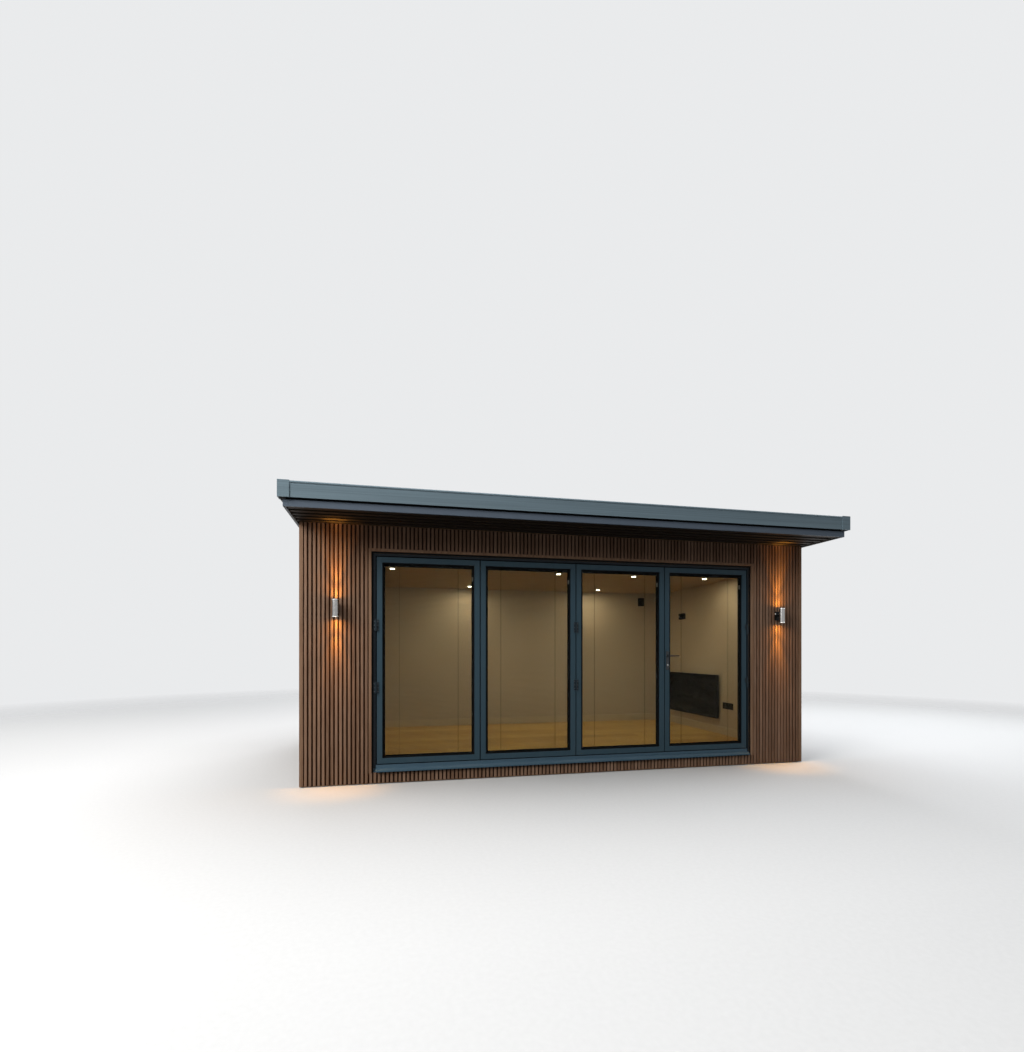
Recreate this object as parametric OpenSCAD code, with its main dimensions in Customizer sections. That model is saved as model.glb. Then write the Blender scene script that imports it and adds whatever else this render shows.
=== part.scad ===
// Garden office pod: a flat-roofed room in slatted cladding, with a four-leaf
// glass door and a two-tier dark roof edge.
// The origin is the centre of the base underside. +Z is up and the glass front
// faces -Y. Leaves 1 to 3 fold, and leaf 4 is the everyday door.

/* [Building] */
// Width over the corner trims
wall_w = 5070; // [4600:10:6000]
// Depth over the corner trims
wall_d = 2900; // [2500:10:3600]
// Height of the wall above the doors, up to the soffit slats
header_h = 247; // [120:1:400]

/* [Base and floor] */
// Height of the timber base frame
base_h = 100; // [80:5:130]
// Thickness of a joist
joist_t = 47; // [38:1:60]
// Widest clear gap between joists
joist_gap = 380; // [300:10:450]
// Gap between the ground and the cladding
ground_gap = 8; // [4:1:20]
// Thickness of the floor
floor_t = 30; // [22:1:40]

/* [Walls] */
// Thickness of the insulated wall panels
core_t = 125; // [100:5:170]
// Thickness of the wall lining
lining_t = 12; // [9:1:18]
// Height of the insulated ceiling above the door frame
ceiling_lift = 20; // [10:1:100]
// Height of the skirting
skirting_h = 95; // [60:5:150]
// Thickness of the skirting
skirting_t = 15; // [10:1:22]

/* [Cladding] */
// Distance from slat to slat
slat_pitch = 36.5; // [30:0.5:45]
// Width of a slat
slat_w = 22; // [14:0.5:26]
// Height of a slat above its board
slat_h = 16; // [10:0.5:22]
// Thickness of the board behind the slats
board_t = 9; // [7:0.5:14]
// Width of a corner trim
corner_w = 32; // [30:1:60]
// How far the trims stand proud of the slats
trim_proud = 2; // [1:0.5:4]
// Width of the trim round the doorway
reveal_w = 24; // [18:1:50]

/* [Roof] */
// Overhang of the lower fascia in front
front_overhang = 520; // [400:5:600]
// Overhang of the lower fascia at the sides
side_overhang = 36; // [30:1:80]
// Overhang of the rear fascia
rear_overhang = 40; // [30:1:80]
// Thickness of the fascia boards
fascia_t = 20; // [14:1:26]
// Height of the lower fascia
fascia_h = 54; // [40:1:80]
// How far the lower fascia hangs below the soffit
fascia_lip = 8; // [4:1:16]
// Height of the dark gap between the two tiers
shadow_gap = 11; // [8:1:30]
// Height of the soffit slats
soffit_slat_h = 12; // [8:1:16]
// Width of a soffit slat
soffit_slat_w = 60; // [40:1:80]
// Distance from soffit slat to soffit slat
soffit_pitch = 104; // [90:1:120]
// Height of the upper metal edge
edge_h = 128; // [100:1:160]
// How far the upper edge stands out beyond the lower fascia
edge_step = 28; // [24:1:50]
// Thickness of the metal edge
edge_t = 4; // [2:0.5:6]
// How far the rounded top of the edge stands out from its face
nose_out = 6; // [4:0.5:10]
// How far the edge hangs below the roof deck
edge_drip = 5; // [3:1:10]
// Length of a corner cap along each side
cap_l = 88; // [60:1:120]
// Width of the kerb round the roof
kerb_w = 45; // [35:1:70]
// Height of the front kerb above the roof surface
kerb_h = 28; // [20:1:35]
// Fall of the roof from front to back
roof_fall = 40; // [20:5:45]
// Thickness of the roof membrane
membrane_t = 4; // [2:0.5:6]

/* [Gutter] */
// Width of the rear gutter
gutter_w = 112; // [90:2:140]
// Depth of the rear gutter
gutter_h = 72; // [60:2:80]
// Wall thickness of the gutter and the downpipe
gutter_t = 3; // [2:0.5:4]
// Diameter of the downpipe
pipe_d = 68; // [60:1:80]

/* [Doorway] */
// Width of the door frame
door_w = 3824; // [3400:2:3900]
// Height of the door frame with its cill
door_h = 1965; // [1900:5:2050]
// Depth of the door frame
frame_t = 70; // [66:1:90]
// Visible width of the frame jambs and head
frame_w = 20; // [16:1:45]
// Gap between the frame and the trim round it, closed by a seal
frame_seal_w = 16; // [8:1:24]
// Height of the cill
cill_h = 35; // [25:1:45]
// Height of the threshold above the cill
threshold_h = 30; // [20:1:40]
// How far the cill stands out beyond the trims
cill_out = 24; // [16:1:60]
// Height of the cill's front edge
cill_nose_h = 14; // [10:1:20]
// How far the ends of the cill keep from the sides of the frame
cill_end = 22; // [10:1:60]

/* [Leaves] */
// Clear gap round each leaf
leaf_gap = 10; // [9:0.5:12]
// Thickness of a leaf
leaf_t = 64; // [56:1:66]
// Visible width of the stiles and rails
stile_w = 48; // [40:1:75]
// Thickness of the glass unit
glass_t = 28; // [24:1:32]
// Depth of the glass behind the outer face of a leaf
glass_set = 20; // [16:0.5:24]
// Visible width of the black gasket
gasket_w = 12; // [8:1:24]
// Thickness of the gasket
gasket_t = 6; // [4:0.5:8]

/* [Hinges and handle] */
// Height of the lower door hinges
hinge_z1 = 860; // [500:10:1000]
// Height of the upper door hinges
hinge_z2 = 1420; // [1200:10:1800]
// Height of a hinge
hinge_h = 100; // [70:2:130]
// Radius of a hinge knuckle
knuckle_r = 9; // [8:0.5:10]
// Radius of the hinge pin
hinge_pin_r = 5; // [4:0.5:6]
// Distance of the hinge axis in front of the leaf
hinge_out = 12; // [11:0.5:14]
// Width of a hinge plate
hinge_plate_w = 22; // [18:1:30]
// Height of the lever handle
lever_z = 1140; // [900:10:1200]
// Length of the lever
lever_l = 106; // [90:2:140]
// Diameter of the lever
lever_d = 16; // [14:1:22]
// Distance from the leaf to the middle of the lever
lever_out = 54; // [45:1:65]
// Width of the handle plate
plate_w = 32; // [26:1:40]
// Height of the handle plate
plate_h = 185; // [150:5:240]
// Thickness of the handle plate
plate_t = 8; // [6:0.5:11]

/* [Lights and fittings] */
// Height of the middle of the wall lights
light_z = 1560; // [1400:10:1800]
// Length of a wall light tube
light_l = 155; // [120:5:220]
// Diameter of a wall light tube
light_d = 53; // [45:1:75]
// Distance from the slats to the middle of the tube
light_out = 80; // [65:1:110]
// Width of the wall screen
screen_w = 1180; // [800:10:1300]
// Height of the wall screen
screen_h = 560; // [450:10:700]
// Diameter of a ceiling downlight
downlight_d = 86; // [60:2:110]

/* [Hidden] */
$fn = 48;

// Open joint between neighbouring lengths of one trim
seam = 0.4;
// Running clearance between a moving piece and its seat
run_gap = 0.3;
// Extra length of a cutting solid
cut = 1;

// Walls, from the outside in
skin_t = board_t + slat_h + trim_proud;
half_w = wall_w / 2;
y_front = -wall_d / 2;
y_back = wall_d / 2;
core_x = half_w - skin_t;
core_y0 = y_front + skin_t;
core_y1 = y_back - skin_t;
inner_x = core_x - core_t;
inner_y0 = core_y0 + core_t;
inner_y1 = core_y1 - core_t;
room_x = inner_x - lining_t;
room_y0 = inner_y0 + lining_t;
room_y1 = inner_y1 - lining_t;
floor_z = base_h + floor_t;
clad_top_gap = 2;

// Roof levels
soffit_z = base_h + door_h + header_h;
soffit_t = board_t + soffit_slat_h;
deck_z = soffit_z + soffit_t;
ceiling_z = base_h + door_h + ceiling_lift;
fascia_z0 = soffit_z - fascia_lip;
fascia_z1 = fascia_z0 + fascia_h;
edge_z0 = fascia_z1 + shadow_gap;
edge_z1 = edge_z0 + edge_h;
kerb_z = edge_z1 - edge_t;
roof_z_front = kerb_z - kerb_h;
roof_z_rear = roof_z_front - roof_fall;
cap_t = edge_t + nose_out + 1;
cap_top_t = edge_t + 3;

// Roof plan: the lower block stands behind the fascia, the upper block behind the metal edge
low_x = half_w + side_overhang - fascia_t;
low_y0 = y_front - front_overhang + fascia_t;
rear_y = y_back + rear_overhang;
low_y1 = rear_y - fascia_t;
up_x = half_w + side_overhang + edge_step - edge_t;
up_y0 = y_front - front_overhang - edge_step + edge_t;
step_z = edge_z0 + edge_drip;
kerb_x = up_x - kerb_w;
kerb_y = up_y0 + kerb_w;

// Gutter and downpipe
gutter_drop = 4;
pipe_from_side = 220;
gutter_x = up_x - cap_l;
gutter_z1 = roof_z_rear - gutter_drop;
gutter_z0 = gutter_z1 - gutter_h;
pipe_x = half_w - pipe_from_side;
pipe_y = rear_y + gutter_w / 2;

// Doorway and leaves
door_x = door_w / 2;
door_z0 = base_h;
door_z1 = door_z0 + door_h;
sill_z = door_z0 + cill_h;
threshold_z = sill_z + threshold_h;
frame_x = door_x - frame_w;
trim_x = door_x + frame_seal_w;
trim_z = door_z1 + frame_seal_w;
seal_t = 5;
leaf_z0 = threshold_z + leaf_gap;
leaf_z1 = door_z1 - frame_w - leaf_gap;
leaf_h = leaf_z1 - leaf_z0;
leaf_count = 4;
leaf_w = (2 * frame_x - (leaf_count + 1) * leaf_gap) / leaf_count;
leaf_y0 = core_y0;
leaf_y1 = leaf_y0 + leaf_t;
glass_y0 = leaf_y0 + glass_set;
function leaf_x(i) = -frame_x + leaf_gap + i * (leaf_w + leaf_gap);

// Hinges and handle
hinge_x = frame_x - leaf_gap / 2;
hinge_y = leaf_y0 - hinge_out;
hinge_plate_t = 6;
cill_lift = 10;
drip_w = 4;
hinge_heights = [hinge_z1, hinge_z2];
lever_x = leaf_x(3) + stile_w / 2;
spindle_r = 5;
key_drop = 92;
plate_drop = key_drop / 2;
key_r = 8.5;
key_out = 3;
lever_return = 26;

// Wall lights and inside fittings
light_x = (half_w - corner_w + trim_x + reveal_w) / 2;
light_y = y_front + trim_proud - light_out;
lens_set = 3;
bracket_w = 46;
bracket_h = 92;
bracket_t = 22;
arm_w = 20;
screen_t = 40;
screen_gap = 22;
screen_from_front = 1800;
screen_rise = 475;
screen_mount_w = 400;
screen_mount_h = 260;
socket_from_front = 998;
socket_rise = 370;
socket_w = 112;
socket_h = 80;
socket_t = 10;
switch_w = 86;
switch_from_front = socket_from_front + socket_w / 2 + 8 + switch_w / 2;
control_from_front = 2119;
control_rise = 1565;
control_size = [25, 150, 86];
speaker_from_side = 370;
speaker_under_ceiling = 75;
speaker_size = [74, 60, 122];
speaker_rise = ceiling_z - floor_z - speaker_under_ceiling - speaker_size[2] / 2;

// Downlights: a full front row, and two set to the right of its second and fourth
downlight_t = 6;
downlight_rim = 2;
downlight_lens_d = 0.74 * downlight_d;
downlight_count = 5;
downlight_from_left = 625;
downlight_from_right = 377;
downlight_from_front = 812;
downlight_from_back = 375;
downlight_shift = 100;
downlight_x0 = -room_x + downlight_from_left;
downlight_x1 = room_x - downlight_from_right;
downlight_step = (downlight_x1 - downlight_x0) / (downlight_count - 1);
front_row_y = room_y0 + downlight_from_front;
back_row_y = room_y1 - downlight_from_back;
downlight_places = concat(
    [for (i = [0 : downlight_count - 1]) [downlight_x0 + i * downlight_step, front_row_y]],
    [for (i = [1, 3]) [downlight_x0 + i * downlight_step + downlight_shift, back_row_y]]);

// A box between its lowest and its highest corner
module block(lo, hi) {
    translate(lo) cube(hi - lo);
}

// Children in the Y-Z plane, drawn out along X
module along_x(x0, x1) {
    translate([x0, 0, 0]) rotate([90, 0, 90]) linear_extrude(x1 - x0) children();
}

// Children in the X-Z plane, drawn out along Y
module along_y(y0, y1) {
    translate([0, y1, 0]) rotate([90, 0, 0]) linear_extrude(y1 - y0) children();
}

// Both hands of a piece
module both_sides() {
    children();
    mirror([1, 0, 0]) children();
}

// Outline of a slatted board: the back lies on y = 0 and the slats point to -y
function slat_outline(length, slat, width, pitch) =
    let (n = floor((length - width - 1) / pitch) + 1,
         start = (length - (n - 1) * pitch - width) / 2)
    concat(
        [[0, 0], [0, -board_t]],
        [for (i = [0 : n - 1]) for (p = [[0, 0], [0, 1], [1, 1], [1, 0]])
            [start + i * pitch + p[0] * width, -board_t - p[1] * slat]],
        [[length, -board_t], [length, 0]]);

module slat_panel(length, z0, z1) {
    translate([0, 0, z0]) linear_extrude(z1 - z0)
        polygon(slat_outline(length, slat_h, slat_w, slat_pitch));
}

// Base and floor

module base_beams() {
    color("burlywood") {
        block([-core_x, core_y0, 0], [core_x, core_y0 + joist_t, base_h]);
        block([-core_x, core_y1 - joist_t, 0], [core_x, core_y1, base_h]);
    }
}

module base_joists() {
    run = 2 * core_x - joist_t;
    bays = 2 * ceil(run / (joist_gap + joist_t) / 2);
    step = run / bays;
    color("burlywood")
        for (i = [0 : bays])
            translate([-core_x + i * step, 0, 0])
                block([0, core_y0 + joist_t, 0], [joist_t, core_y1 - joist_t, base_h]);
}

module floor_deck() {
    color("peru") {
        block([-inner_x, inner_y0, base_h], [inner_x, inner_y1, floor_z]);
        block([-door_x, core_y0 + frame_t, base_h], [door_x, inner_y0 + cut, floor_z]);
    }
}

// Walls

module side_wall() {
    color("tan") block([-core_x, core_y0, base_h], [-inner_x, core_y1, deck_z]);
}

module back_wall() {
    color("tan") block([-inner_x, inner_y1, base_h], [inner_x, core_y1, deck_z]);
}

module front_wall_side() {
    color("tan") block([-inner_x, core_y0, base_h], [-door_x, inner_y0, deck_z]);
}

module front_wall_header() {
    color("tan") block([-door_x, core_y0, door_z1], [door_x, inner_y0, deck_z]);
}

module room_lining() {
    color("linen") {
        both_sides() {
            block([-inner_x, inner_y0, floor_z], [-room_x, inner_y1, ceiling_z]);
            block([-room_x + seam, inner_y0, floor_z], [-door_x, room_y0, ceiling_z]);
        }
        block([-room_x + seam, room_y1, floor_z], [room_x - seam, inner_y1, ceiling_z]);
        block([-door_x + seam, inner_y0, door_z1], [door_x - seam, room_y0, ceiling_z]);
    }
}

module ceiling_panel() {
    color("white") block([-inner_x, inner_y0, ceiling_z], [inner_x, inner_y1, deck_z]);
}

module skirting() {
    top = floor_z + skirting_h;
    color("white") {
        both_sides() {
            block([-room_x, room_y0, floor_z], [-room_x + skirting_t, room_y1, top]);
            block([-room_x + skirting_t + seam, room_y0, floor_z],
                  [-door_x - seam, room_y0 + skirting_t, top]);
        }
        block([-room_x + skirting_t + seam, room_y1 - skirting_t, floor_z],
              [room_x - skirting_t - seam, room_y1, top]);
    }
}

// Cladding

module front_cladding_side() {
    translate([-half_w + corner_w, core_y0, 0])
        color("sienna")
            slat_panel(half_w - corner_w - trim_x - reveal_w, ground_gap, soffit_z - clad_top_gap);
}

module front_cladding_header() {
    translate([-trim_x - reveal_w, core_y0, 0])
        color("sienna")
            slat_panel(2 * (trim_x + reveal_w), trim_z + reveal_w, soffit_z - clad_top_gap);
}

module front_cladding_kerb() {
    translate([-trim_x - reveal_w, core_y0, 0])
        color("sienna")
            slat_panel(2 * (trim_x + reveal_w), ground_gap, door_z0);
}

module side_cladding() {
    translate([-core_x, y_back - corner_w, 0]) rotate([0, 0, -90])
        color("sienna")
            slat_panel(wall_d - 2 * corner_w, ground_gap, deck_z - clad_top_gap);
}

module back_cladding() {
    translate([half_w - corner_w, core_y1, 0]) rotate([0, 0, 180])
        color("sienna")
            slat_panel(2 * (half_w - corner_w), ground_gap, deck_z - clad_top_gap);
}

module corner_trim(y_out, y_in, top) {
    difference() {
        block([-half_w, min(y_out, y_in), ground_gap], [-half_w + corner_w, max(y_out, y_in), top]);
        block([-core_x, core_y0, 0], [core_x, core_y1, deck_z]);
    }
}

module corner_trims() {
    color("peru") both_sides() {
        corner_trim(y_front, y_front + corner_w, soffit_z - clad_top_gap);
        corner_trim(y_back, y_back - corner_w, deck_z - clad_top_gap);
    }
}

module doorway_trims() {
    color("peru") {
        both_sides()
            block([-trim_x - reveal_w, y_front, door_z0], [-trim_x, core_y0, trim_z - seam]);
        block([-trim_x - reveal_w, y_front, trim_z], [trim_x + reveal_w, core_y0, trim_z + reveal_w]);
    }
}

// Roof

// The insulated deck, as wide as the lower fascia
module roof_deck() {
    color("tan") block([-low_x, low_y0, deck_z], [low_x, low_y1, step_z]);
}

// The layer that gives the roof its fall
module roof_firrings() {
    color("tan")
        along_x(-kerb_x, kerb_x)
            polygon([
                [kerb_y, step_z], [low_y1, step_z], [low_y1, roof_z_rear], [kerb_y, roof_z_front]
            ]);
}

// The kerbs along the front and both sides
module roof_kerbs() {
    color("tan") {
        block([-up_x, up_y0, step_z], [up_x, kerb_y - seam, kerb_z]);
        both_sides() block([-up_x, kerb_y, step_z], [-kerb_x, low_y1, kerb_z]);
    }
}

module roof_membrane() {
    color("dimgray")
        along_x(-kerb_x, kerb_x)
            polygon([
                [kerb_y, roof_z_front], [low_y1, roof_z_rear], [rear_y, roof_z_rear],
                [rear_y, roof_z_rear + membrane_t], [low_y1, roof_z_rear + membrane_t],
                [kerb_y, roof_z_front + membrane_t]
            ]);
}

module front_soffit() {
    length = core_y0 - low_y0;
    color("saddlebrown")
        translate([0, low_y0, deck_z])
            along_x(-low_x, low_x)
                polygon(slat_outline(length, soffit_slat_h, soffit_slat_w, soffit_pitch));
}

// An angle round a fascia corner
module fascia_corner() {
    leg = 2 * fascia_t + 4;
    difference() {
        block([-low_x - fascia_t, low_y0 - fascia_t, fascia_z0],
              [-low_x - fascia_t + leg, low_y0 - fascia_t + leg, fascia_z1]);
        block([-low_x, low_y0, 0], [low_x, low_y1, fascia_z1 + cut]);
    }
}

module lower_fascia() {
    leg = fascia_t + 4 + seam;
    color("darkslategray") {
        both_sides() {
            fascia_corner();
            block([-low_x - fascia_t, low_y0 + leg, fascia_z0], [-low_x, low_y1, fascia_z1]);
        }
        block([-low_x + leg, low_y0 - fascia_t, fascia_z0], [low_x - leg, low_y0, fascia_z1]);
    }
}

module rear_fascia() {
    wide_x = low_x + fascia_t;
    half = [
        [wide_x, fascia_z0], [wide_x, step_z], [up_x, step_z], [up_x, kerb_z],
        [kerb_x, kerb_z], [kerb_x, roof_z_rear]
    ];
    color("darkslategray")
        along_y(low_y1, rear_y)
            polygon(concat(half, [for (i = [5 : -1 : 0]) [-half[i][0], half[i][1]]]));
}

// Section of the metal edge: the deck face is x = 0, outwards is +x
module edge_section() {
    nose_r = edge_t + nose_out;
    difference() {
        union() {
            translate([0, edge_z0]) square([edge_t, edge_h]);
            translate([0, edge_z1 - nose_r]) circle(nose_r);
            translate([-kerb_w, kerb_z]) square([kerb_w, edge_t]);
        }
        translate([-2 * kerb_w, edge_z0]) square([2 * kerb_w, kerb_z - edge_z0]);
    }
}

module roof_edge_trims() {
    cap_in = cap_l - cap_t + seam;
    color("slategray") {
        along_x(-up_x + cap_in, up_x - cap_in)
            translate([up_y0, 0]) mirror([1, 0]) edge_section();
        both_sides()
            along_y(up_y0 + cap_in, rear_y - cap_in)
                translate([-up_x, 0]) mirror([1, 0]) edge_section();
    }
}

// Cap round one corner of the roof edge: the corner is at the origin, outwards is -x and -y
module corner_cap() {
    difference() {
        block([-cap_t, -cap_t, edge_z0 - 2], [cap_l - cap_t, cap_l - cap_t, kerb_z + cap_top_t]);
        block([0, 0, edge_z0 - 2 - cut], [cap_l, cap_l, kerb_z]);
        block([kerb_w, kerb_w, kerb_z - cut], [cap_l, cap_l, kerb_z + cap_top_t + cut]);
    }
}

module roof_corner_caps() {
    color("slategray") both_sides() {
        translate([-up_x, up_y0, 0]) corner_cap();
        translate([-up_x, rear_y, 0]) mirror([0, 1, 0]) corner_cap();
    }
}

// The floor of the gutter, with the outlet
module rear_gutter() {
    color("darkslategray")
        difference() {
            block([-gutter_x, rear_y, gutter_z0], [gutter_x, rear_y + gutter_w, gutter_z0 + gutter_t]);
            translate([pipe_x, pipe_y, gutter_z0 - cut])
                cylinder(d = pipe_d - 2 * gutter_t, h = gutter_t + 2 * cut);
        }
}

// The long sides and the stop ends, which stand on the floor
module gutter_sides() {
    z0 = gutter_z0 + gutter_t;
    y1 = rear_y + gutter_w;
    color("darkslategray") {
        block([-gutter_x, rear_y, z0], [gutter_x, rear_y + gutter_t, gutter_z1]);
        block([-gutter_x, y1 - gutter_t, z0], [gutter_x, y1, gutter_z1]);
        both_sides()
            block([-gutter_x, rear_y + gutter_t + seam, z0],
                  [-gutter_x + gutter_t, y1 - gutter_t - seam, gutter_z1]);
    }
}

module downpipe() {
    clip_w = 30;
    clip_h = 25;
    clip_drop = 350;
    clip_z0 = 400;
    clip_z1 = gutter_z0 - clip_drop;
    color("darkslategray")
        difference() {
            union() {
                translate([pipe_x, pipe_y, ground_gap]) cylinder(d = pipe_d, h = gutter_z0 - ground_gap);
                for (z = [clip_z0, (clip_z0 + clip_z1) / 2, clip_z1])
                    block([pipe_x - clip_w / 2, y_back - trim_proud, z],
                          [pipe_x + clip_w / 2, pipe_y, z + clip_h]);
            }
            translate([pipe_x, pipe_y, ground_gap - cut])
                cylinder(d = pipe_d - 2 * gutter_t, h = gutter_z0 - ground_gap + 2 * cut);
        }
}

// Doors

module door_frame() {
    color("darkslategray") {
        both_sides()
            block([-door_x, core_y0, sill_z], [-frame_x, core_y0 + frame_t, door_z1]);
        block([-frame_x + seam, core_y0, door_z1 - frame_w],
              [frame_x - seam, core_y0 + frame_t, door_z1]);
    }
}

// The cill slopes from the threshold down to a nose with a drip groove under it
module door_cill() {
    y0 = y_front - cill_out;
    y1 = core_y0 + frame_t;
    nose_z = door_z0 + cill_lift;
    nose_x = door_x - cill_end;
    color("slategray") {
        along_x(-nose_x, nose_x)
            polygon([
                [y0, nose_z], [y0 + drip_w, nose_z], [y0 + drip_w, nose_z + drip_w],
                [y0 + 2 * drip_w, nose_z + drip_w], [y0 + 2 * drip_w, nose_z], [core_y0, nose_z],
                [core_y0, sill_z], [y0, nose_z + cill_nose_h]
            ]);
        block([-door_x, core_y0, door_z0], [door_x, y1, sill_z]);
        block([-frame_x, core_y0, sill_z - cut], [frame_x, y1, threshold_z]);
    }
}

// The seal between the frame and the trims
module frame_seal() {
    color("black") {
        both_sides()
            block([-trim_x, core_y0 - seal_t, door_z0], [-door_x, core_y0, door_z1]);
        block([-trim_x, core_y0 - seal_t, door_z1 + seam], [trim_x, core_y0, trim_z]);
    }
}

// The bars round a leaf, with its lower left outer corner at the origin
module leaf_bars() {
    difference() {
        cube([leaf_w, leaf_t, leaf_h]);
        translate([stile_w, -cut, stile_w])
            cube([leaf_w - 2 * stile_w, leaf_t + 2 * cut, leaf_h - 2 * stile_w]);
    }
}

module leaf_frame(i) {
    color("darkslategray") translate([leaf_x(i), leaf_y0, leaf_z0]) leaf_bars();
}

// All the black seals that stay with the pod
module folding_gaskets() {
    for (i = [0 : 2]) leaf_gaskets(i);
    frame_seal();
}

module leaf_glass(i) {
    color("lightblue", 0.35)
        block([leaf_x(i) + stile_w, glass_y0, leaf_z0 + stile_w],
              [leaf_x(i) + leaf_w - stile_w, glass_y0 + glass_t, leaf_z1 - stile_w]);
}

// Gasket rings on both faces of a pane
module leaf_gaskets(i) {
    x0 = leaf_x(i) + stile_w;
    x1 = leaf_x(i) + leaf_w - stile_w;
    z0 = leaf_z0 + stile_w;
    z1 = leaf_z1 - stile_w;
    color("black")
        for (y = [glass_y0 - gasket_t, glass_y0 + glass_t])
            difference() {
                block([x0, y, z0], [x1, y + gasket_t, z1]);
                block([x0 + gasket_w, y - cut, z0 + gasket_w],
                      [x1 - gasket_w, y + gasket_t + cut, z1 - gasket_w]);
            }
}

// A hinge plate between the knuckle line and x = hinge_plate_w
module hinge_plate(h) {
    block([0, -hinge_plate_t, 0], [hinge_plate_w, 0, h]);
}

// Half a hinge with its axis at the origin: the knuckle and a plate to +x
module hinge_half(z0, h) {
    translate([0, 0, z0]) {
        cylinder(r = knuckle_r, h = h);
        translate([0, hinge_out, 0]) hinge_plate(h);
    }
}

// A whole hinge over a joint between two outer faces
module joint_hinge(x) {
    for (z = hinge_heights)
        translate([x, hinge_y, z - hinge_h / 2]) {
            hinge_half(0, hinge_h);
            mirror([1, 0, 0]) hinge_half(0, hinge_h);
        }
}

module fixed_hinges() {
    half_h = hinge_h / 2;
    color("darkslategray") {
        joint_hinge(leaf_x(0) - leaf_gap / 2);
        translate([0, leaf_y0 + leaf_y1, 0]) mirror([0, 1, 0]) joint_hinge(leaf_x(1) - leaf_gap / 2);
        joint_hinge(leaf_x(2) - leaf_gap / 2);
        for (z = hinge_heights)
            translate([hinge_x, hinge_y, z - half_h]) {
                hinge_half(0, half_h - run_gap);
                cylinder(r = hinge_pin_r, h = hinge_h - run_gap);
            }
    }
}

module traffic_door_hinges() {
    half_h = hinge_h / 2;
    color("darkslategray")
        for (z = hinge_heights)
            translate([hinge_x, hinge_y, z]) difference() {
                mirror([1, 0, 0]) hinge_half(0, half_h);
                translate([0, 0, -cut]) cylinder(r = hinge_pin_r + run_gap, h = half_h + 2 * cut);
            }
}

module traffic_door_frame() {
    color("darkslategray")
        difference() {
            translate([leaf_x(3), leaf_y0, leaf_z0]) leaf_bars();
            translate([lever_x, leaf_y1 + cut, lever_z]) rotate([90, 0, 0])
                cylinder(r = spindle_r + run_gap, h = leaf_t + 2 * cut);
        }
}

module handle_plate() {
    z_mid = lever_z - plate_drop;
    difference() {
        union() {
            block([lever_x - plate_w / 2, leaf_y0 - plate_t, z_mid - plate_h / 2],
                  [lever_x + plate_w / 2, leaf_y0, z_mid + plate_h / 2]);
            translate([lever_x, leaf_y0, lever_z - key_drop]) rotate([90, 0, 0])
                cylinder(r = key_r, h = plate_t + key_out);
        }
        translate([lever_x, leaf_y0 + cut, lever_z]) rotate([90, 0, 0])
            cylinder(r = spindle_r + run_gap, h = plate_t + 2 * cut);
    }
}

// A piece on the outer face of the leaf, and its twin on the inner face
module both_faces() {
    children();
    translate([0, leaf_y0 + leaf_y1, 0]) mirror([0, 1, 0]) children();
}

module handle_plates() {
    color("silver") both_faces() handle_plate();
}

module lever() {
    neck_r = lever_d / 2;
    y_mid = leaf_y0 - lever_out;
    y_seat = leaf_y0 - plate_t - run_gap;
    translate([lever_x, y_seat, lever_z]) rotate([90, 0, 0]) cylinder(r = neck_r, h = y_seat - y_mid);
    translate([lever_x, y_mid, lever_z]) sphere(neck_r);
    translate([lever_x, y_mid, lever_z]) rotate([0, 90, 0]) cylinder(r = neck_r, h = lever_l - neck_r);
    translate([lever_x + lever_l - neck_r, y_mid, lever_z]) {
        sphere(neck_r);
        rotate([-90, 0, 0]) cylinder(r = neck_r, h = lever_return);
    }
}

module lever_handles() {
    color("silver") {
        both_faces() lever();
        translate([lever_x, leaf_y1 + lever_out, lever_z]) rotate([90, 0, 0])
            cylinder(r = spindle_r, h = leaf_t + 2 * lever_out);
    }
}

// Lights and inside fittings

module light_tubes() {
    color("silver") both_sides()
        translate([-light_x, light_y, light_z - light_l / 2]) difference() {
            cylinder(d = light_d, h = light_l);
            translate([0, 0, -cut]) cylinder(d = light_d - 4, h = cut + lens_set);
            translate([0, 0, light_l - lens_set]) cylinder(d = light_d - 4, h = cut + lens_set);
        }
}

module light_brackets() {
    y_wall = y_front + trim_proud;
    color("black") both_sides() {
        block([-light_x - bracket_w / 2, y_wall - bracket_t, light_z - bracket_h / 2],
              [-light_x + bracket_w / 2, y_wall, light_z + bracket_h / 2]);
        difference() {
            block([-light_x - arm_w / 2, light_y, light_z - arm_w / 2],
                  [-light_x + arm_w / 2, y_wall - bracket_t + cut, light_z + arm_w / 2]);
            translate([-light_x, light_y, light_z - light_l / 2]) cylinder(d = light_d, h = light_l);
        }
    }
}

// A ring with a sloping rim round a set-back lens
module downlight() {
    difference() {
        union() {
            cylinder(d1 = downlight_d - 2 * downlight_rim, d2 = downlight_d, h = downlight_rim);
            translate([0, 0, downlight_rim]) cylinder(d = downlight_d, h = downlight_t - downlight_rim);
        }
        translate([0, 0, -cut]) cylinder(d = downlight_lens_d, h = cut + downlight_t / 2);
    }
}

module ceiling_downlights() {
    color("white")
        for (place = downlight_places)
            translate([place[0], place[1], ceiling_z - downlight_t]) downlight();
}

module wall_screen() {
    x1 = room_x - screen_gap;
    screen_y = y_front + screen_from_front;
    screen_z = floor_z + screen_rise;
    color("black") {
        block([x1 - screen_t, screen_y - screen_w / 2, screen_z - screen_h / 2],
              [x1, screen_y + screen_w / 2, screen_z + screen_h / 2]);
        block([x1 - cut, screen_y - screen_mount_w / 2, screen_z - screen_mount_h / 2],
              [room_x, screen_y + screen_mount_w / 2, screen_z + screen_mount_h / 2]);
    }
}

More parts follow.
